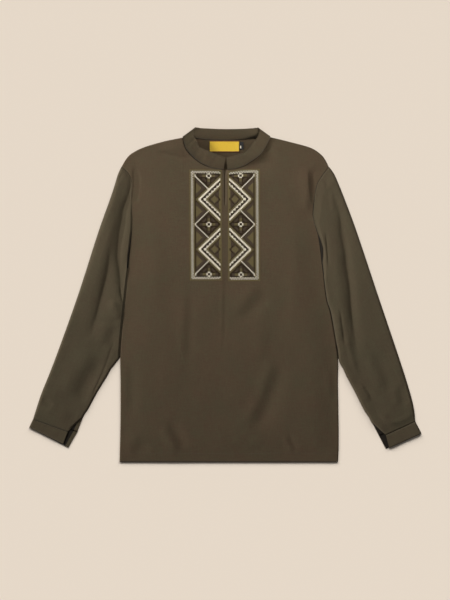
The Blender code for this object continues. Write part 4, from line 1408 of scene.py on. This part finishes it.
# The red rows at the label's lower edge also stand for painted shadow there
label = tape_object("woven_label", "neck_label", [yellow_tape, red_line_and_edge_shadow], 0.5 * MM, LABEL_ROWS,
                    LABEL_COLUMNS, (0, 1, LABEL_ROWS - 2, LABEL_ROWS - 1))
tab = tape_object("woven_tab", "size_tab", [black_tape], 0.4 * MM, 17, 9)
thicken(label, TAPE_THICK)
thicken(tab, TAPE_THICK)
tab_low, tab_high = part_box("size_tab")
tack_x = np.full(TACK_STITCHES, tab_low.x + 1.2 * MM)
tack_y = np.linspace(tab_low.y + 3 * MM, tab_low.y + 8 * MM, TACK_STITCHES)
tack_z = np.full(TACK_STITCHES, tab_high.z + 0.35 * MM)
tack_starts = np.column_stack([tack_x, tack_y, tack_z])
tack_ends = tack_starts + np.array([3.0 * MM, 0.2 * MM, 0.0])
tack_ups = np.tile([0.0, 0.0, 1.0], (TACK_STITCHES, 1))
tack_points, tack_faces = strands(tack_starts, tack_ends, tack_ups, 0.7 * MM, 0.15 * MM)
tack = cloth_object("bar_tack", tack_points, tack_faces, None, [thread_looks[WHITE]], join=False)
print("label faces:", len(label.data.polygons))

# %% [markdown]
# ## Attach each piece
# Every piece rides on the one body of this part and takes the place of the plain solid it
# stands for, which is hidden. The table also gives the finish each piece takes and the size of
# its cut: the cloth that shows, all round where the piece is a tube.

Cut = namedtuple("Cut", "piece node slot flat area rests")
cuts = (
    Cut(back, "back", "shirting", (0.500, 0.735), 0.330, []),
    Cut(front, "front", "shirting", (0.500, 0.735), 0.320, ["back_linen"]),
    Cut(sleeve_left, "sleeve_left", "shirting", (0.270, 0.620), 0.120, []),
    Cut(sleeve_right, "sleeve_right", "shirting", (0.270, 0.620), 0.120, []),
    Cut(cuff_left, "cuff_left", "shirting", (0.180, 0.038), None, []),
    Cut(cuff_right, "cuff_right", "shirting", (0.180, 0.038), None, []),
    Cut(collar, "collar", "collar_cloth", (0.460, 0.037), None, ["front_linen", "back_linen"]),
    Cut(label, "neck_label", "label_weave", (0.066, 0.026), None, ["back_linen"]),
    Cut(tab, "size_tab", "tab_weave", (0.0091, 0.017), None, ["back_linen"]),
)
sewn_on = {
    "front": [*embroidery, body_stitches],
    "cuff_left": [cuff_rows["left"]],
    "cuff_right": [cuff_rows["right"]],
    "collar": [collar_stitches],
    "size_tab": [tack],
}
for cut in cuts:
    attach(cut.piece, "root")
    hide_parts(cut.node)
    trim = sewn_on.get(cut.node, [])
    for piece in trim:
        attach(piece, "root")
print("pieces declared:", [cut.piece.name for cut in cuts])

# %% [markdown]
# ## Floor and light
# The floor is a plain warm beige. Three soft lights beyond the collar's end reach only the
# floor, one high and two low, and together they throw a narrow shadow below the hem and the
# cuffs. A low light from the left rakes across the cloth, so each fold shows a lit and a dark
# side. The same light, weaker, reaches the back, of which only the inside of the neck shows.
# The embroidery has one more light, and the collar, which stands up, has one of its own from
# the hem's end. A strip close over the shoulders lets the light fade towards the hem. As a
# photographer flags a lamp off a surface, light linking gives each lamp the pieces it lights.

# %% Floor, lights and colour
FLOOR_COLOUR = (0.79, 0.69, 0.58)
FLOOR_SIZE = 12.0
WORLD_LIGHT = 0.14
Sun = namedtuple("Sun", "name strength azimuth tilt spread lights")
SUNS = (
    Sun("floor light", 2.1, 92, 50, 20, ["floor"]),
    Sun("low floor light from the left", 1.8, 120, 68, 26, ["floor"]),
    Sun("low floor light from the right", 1.8, 60, 68, 26, ["floor"]),
    Sun("raking light", 3.85, 165, 64, 14, ["front", "sleeve", "cuff", "embroidery", "body", "label",
                                           "tab", "tack"]),
    Sun("inside light", 1.9, 165, 64, 14, ["back"]),
    Sun("collar light", 2.1, -60, 50, 30, ["collar"]),
    Sun("embroidery light", 1.2, 120, 30, 20, ["embroidery"]),
)
STRIP_SIZE = (2.4, 0.35)
STRIP_PLACE = (0.0, 0.85, 0.95)
STRIP_TILT = -33             # degrees, towards the chest
STRIP_SPREAD = 62            # degrees
STRIP_POWER = 3.3


def make_floor():
    half = FLOOR_SIZE / 2
    mesh = bpy.data.meshes.new("floor")
    mesh.from_pydata([(-half, -half, 0), (half, -half, 0), (half, half, 0), (-half, half, 0)], [],
                     [(0, 1, 2, 3)])
    made, _, shader = new_material("beige paper", 0.95)
    shader.inputs["Specular IOR Level"].default_value = 0.0
    shader.inputs["Base Color"].default_value = (*FLOOR_COLOUR, 1.0)
    mesh.materials.append(made)
    return add_object("floor", mesh)


def add_light(name, data, wanted):
    """A light that reaches only the pieces whose names hold a wanted word."""
    light = add_object(name, data)
    lit = bpy.data.collections.new("lit by " + name)
    for piece in bpy.context.scene.objects:
        if piece.type == "MESH" and any(word in piece.name for word in wanted):
            lit.objects.link(piece)
    light.light_linking.receiver_collection = lit
    return light


def make_sun(sun):
    data = bpy.data.lights.new(sun.name, "SUN")
    data.energy = sun.strength
    data.angle = math.radians(sun.spread)
    light = add_light(sun.name, data, sun.lights)
    light.rotation_euler = (0.0, math.radians(sun.tilt), math.radians(sun.azimuth))


def make_strip():
    data = bpy.data.lights.new("strip", "AREA")
    data.shape = "RECTANGLE"
    data.size, data.size_y = STRIP_SIZE
    data.energy = STRIP_POWER
    data.spread = math.radians(STRIP_SPREAD)
    light = add_light("strip", data, ["linen", "embroidery", "stitches", "woven", "tack"])
    light.location = STRIP_PLACE
    light.rotation_euler = (math.radians(STRIP_TILT), 0.0, 0.0)


def make_world():
    world = bpy.data.worlds.new("studio")
    world.use_nodes = True
    shade = world.node_tree.nodes["Background"]
    shade.inputs["Color"].default_value = (1.0, 1.0, 1.0, 1.0)
    shade.inputs["Strength"].default_value = WORLD_LIGHT
    bpy.context.scene.world = world


make_floor()
for sun in SUNS:
    make_sun(sun)
make_strip()
make_world()
bpy.context.scene.view_settings.view_transform = "Standard"
print("lights:", [light.name for light in bpy.data.lights])
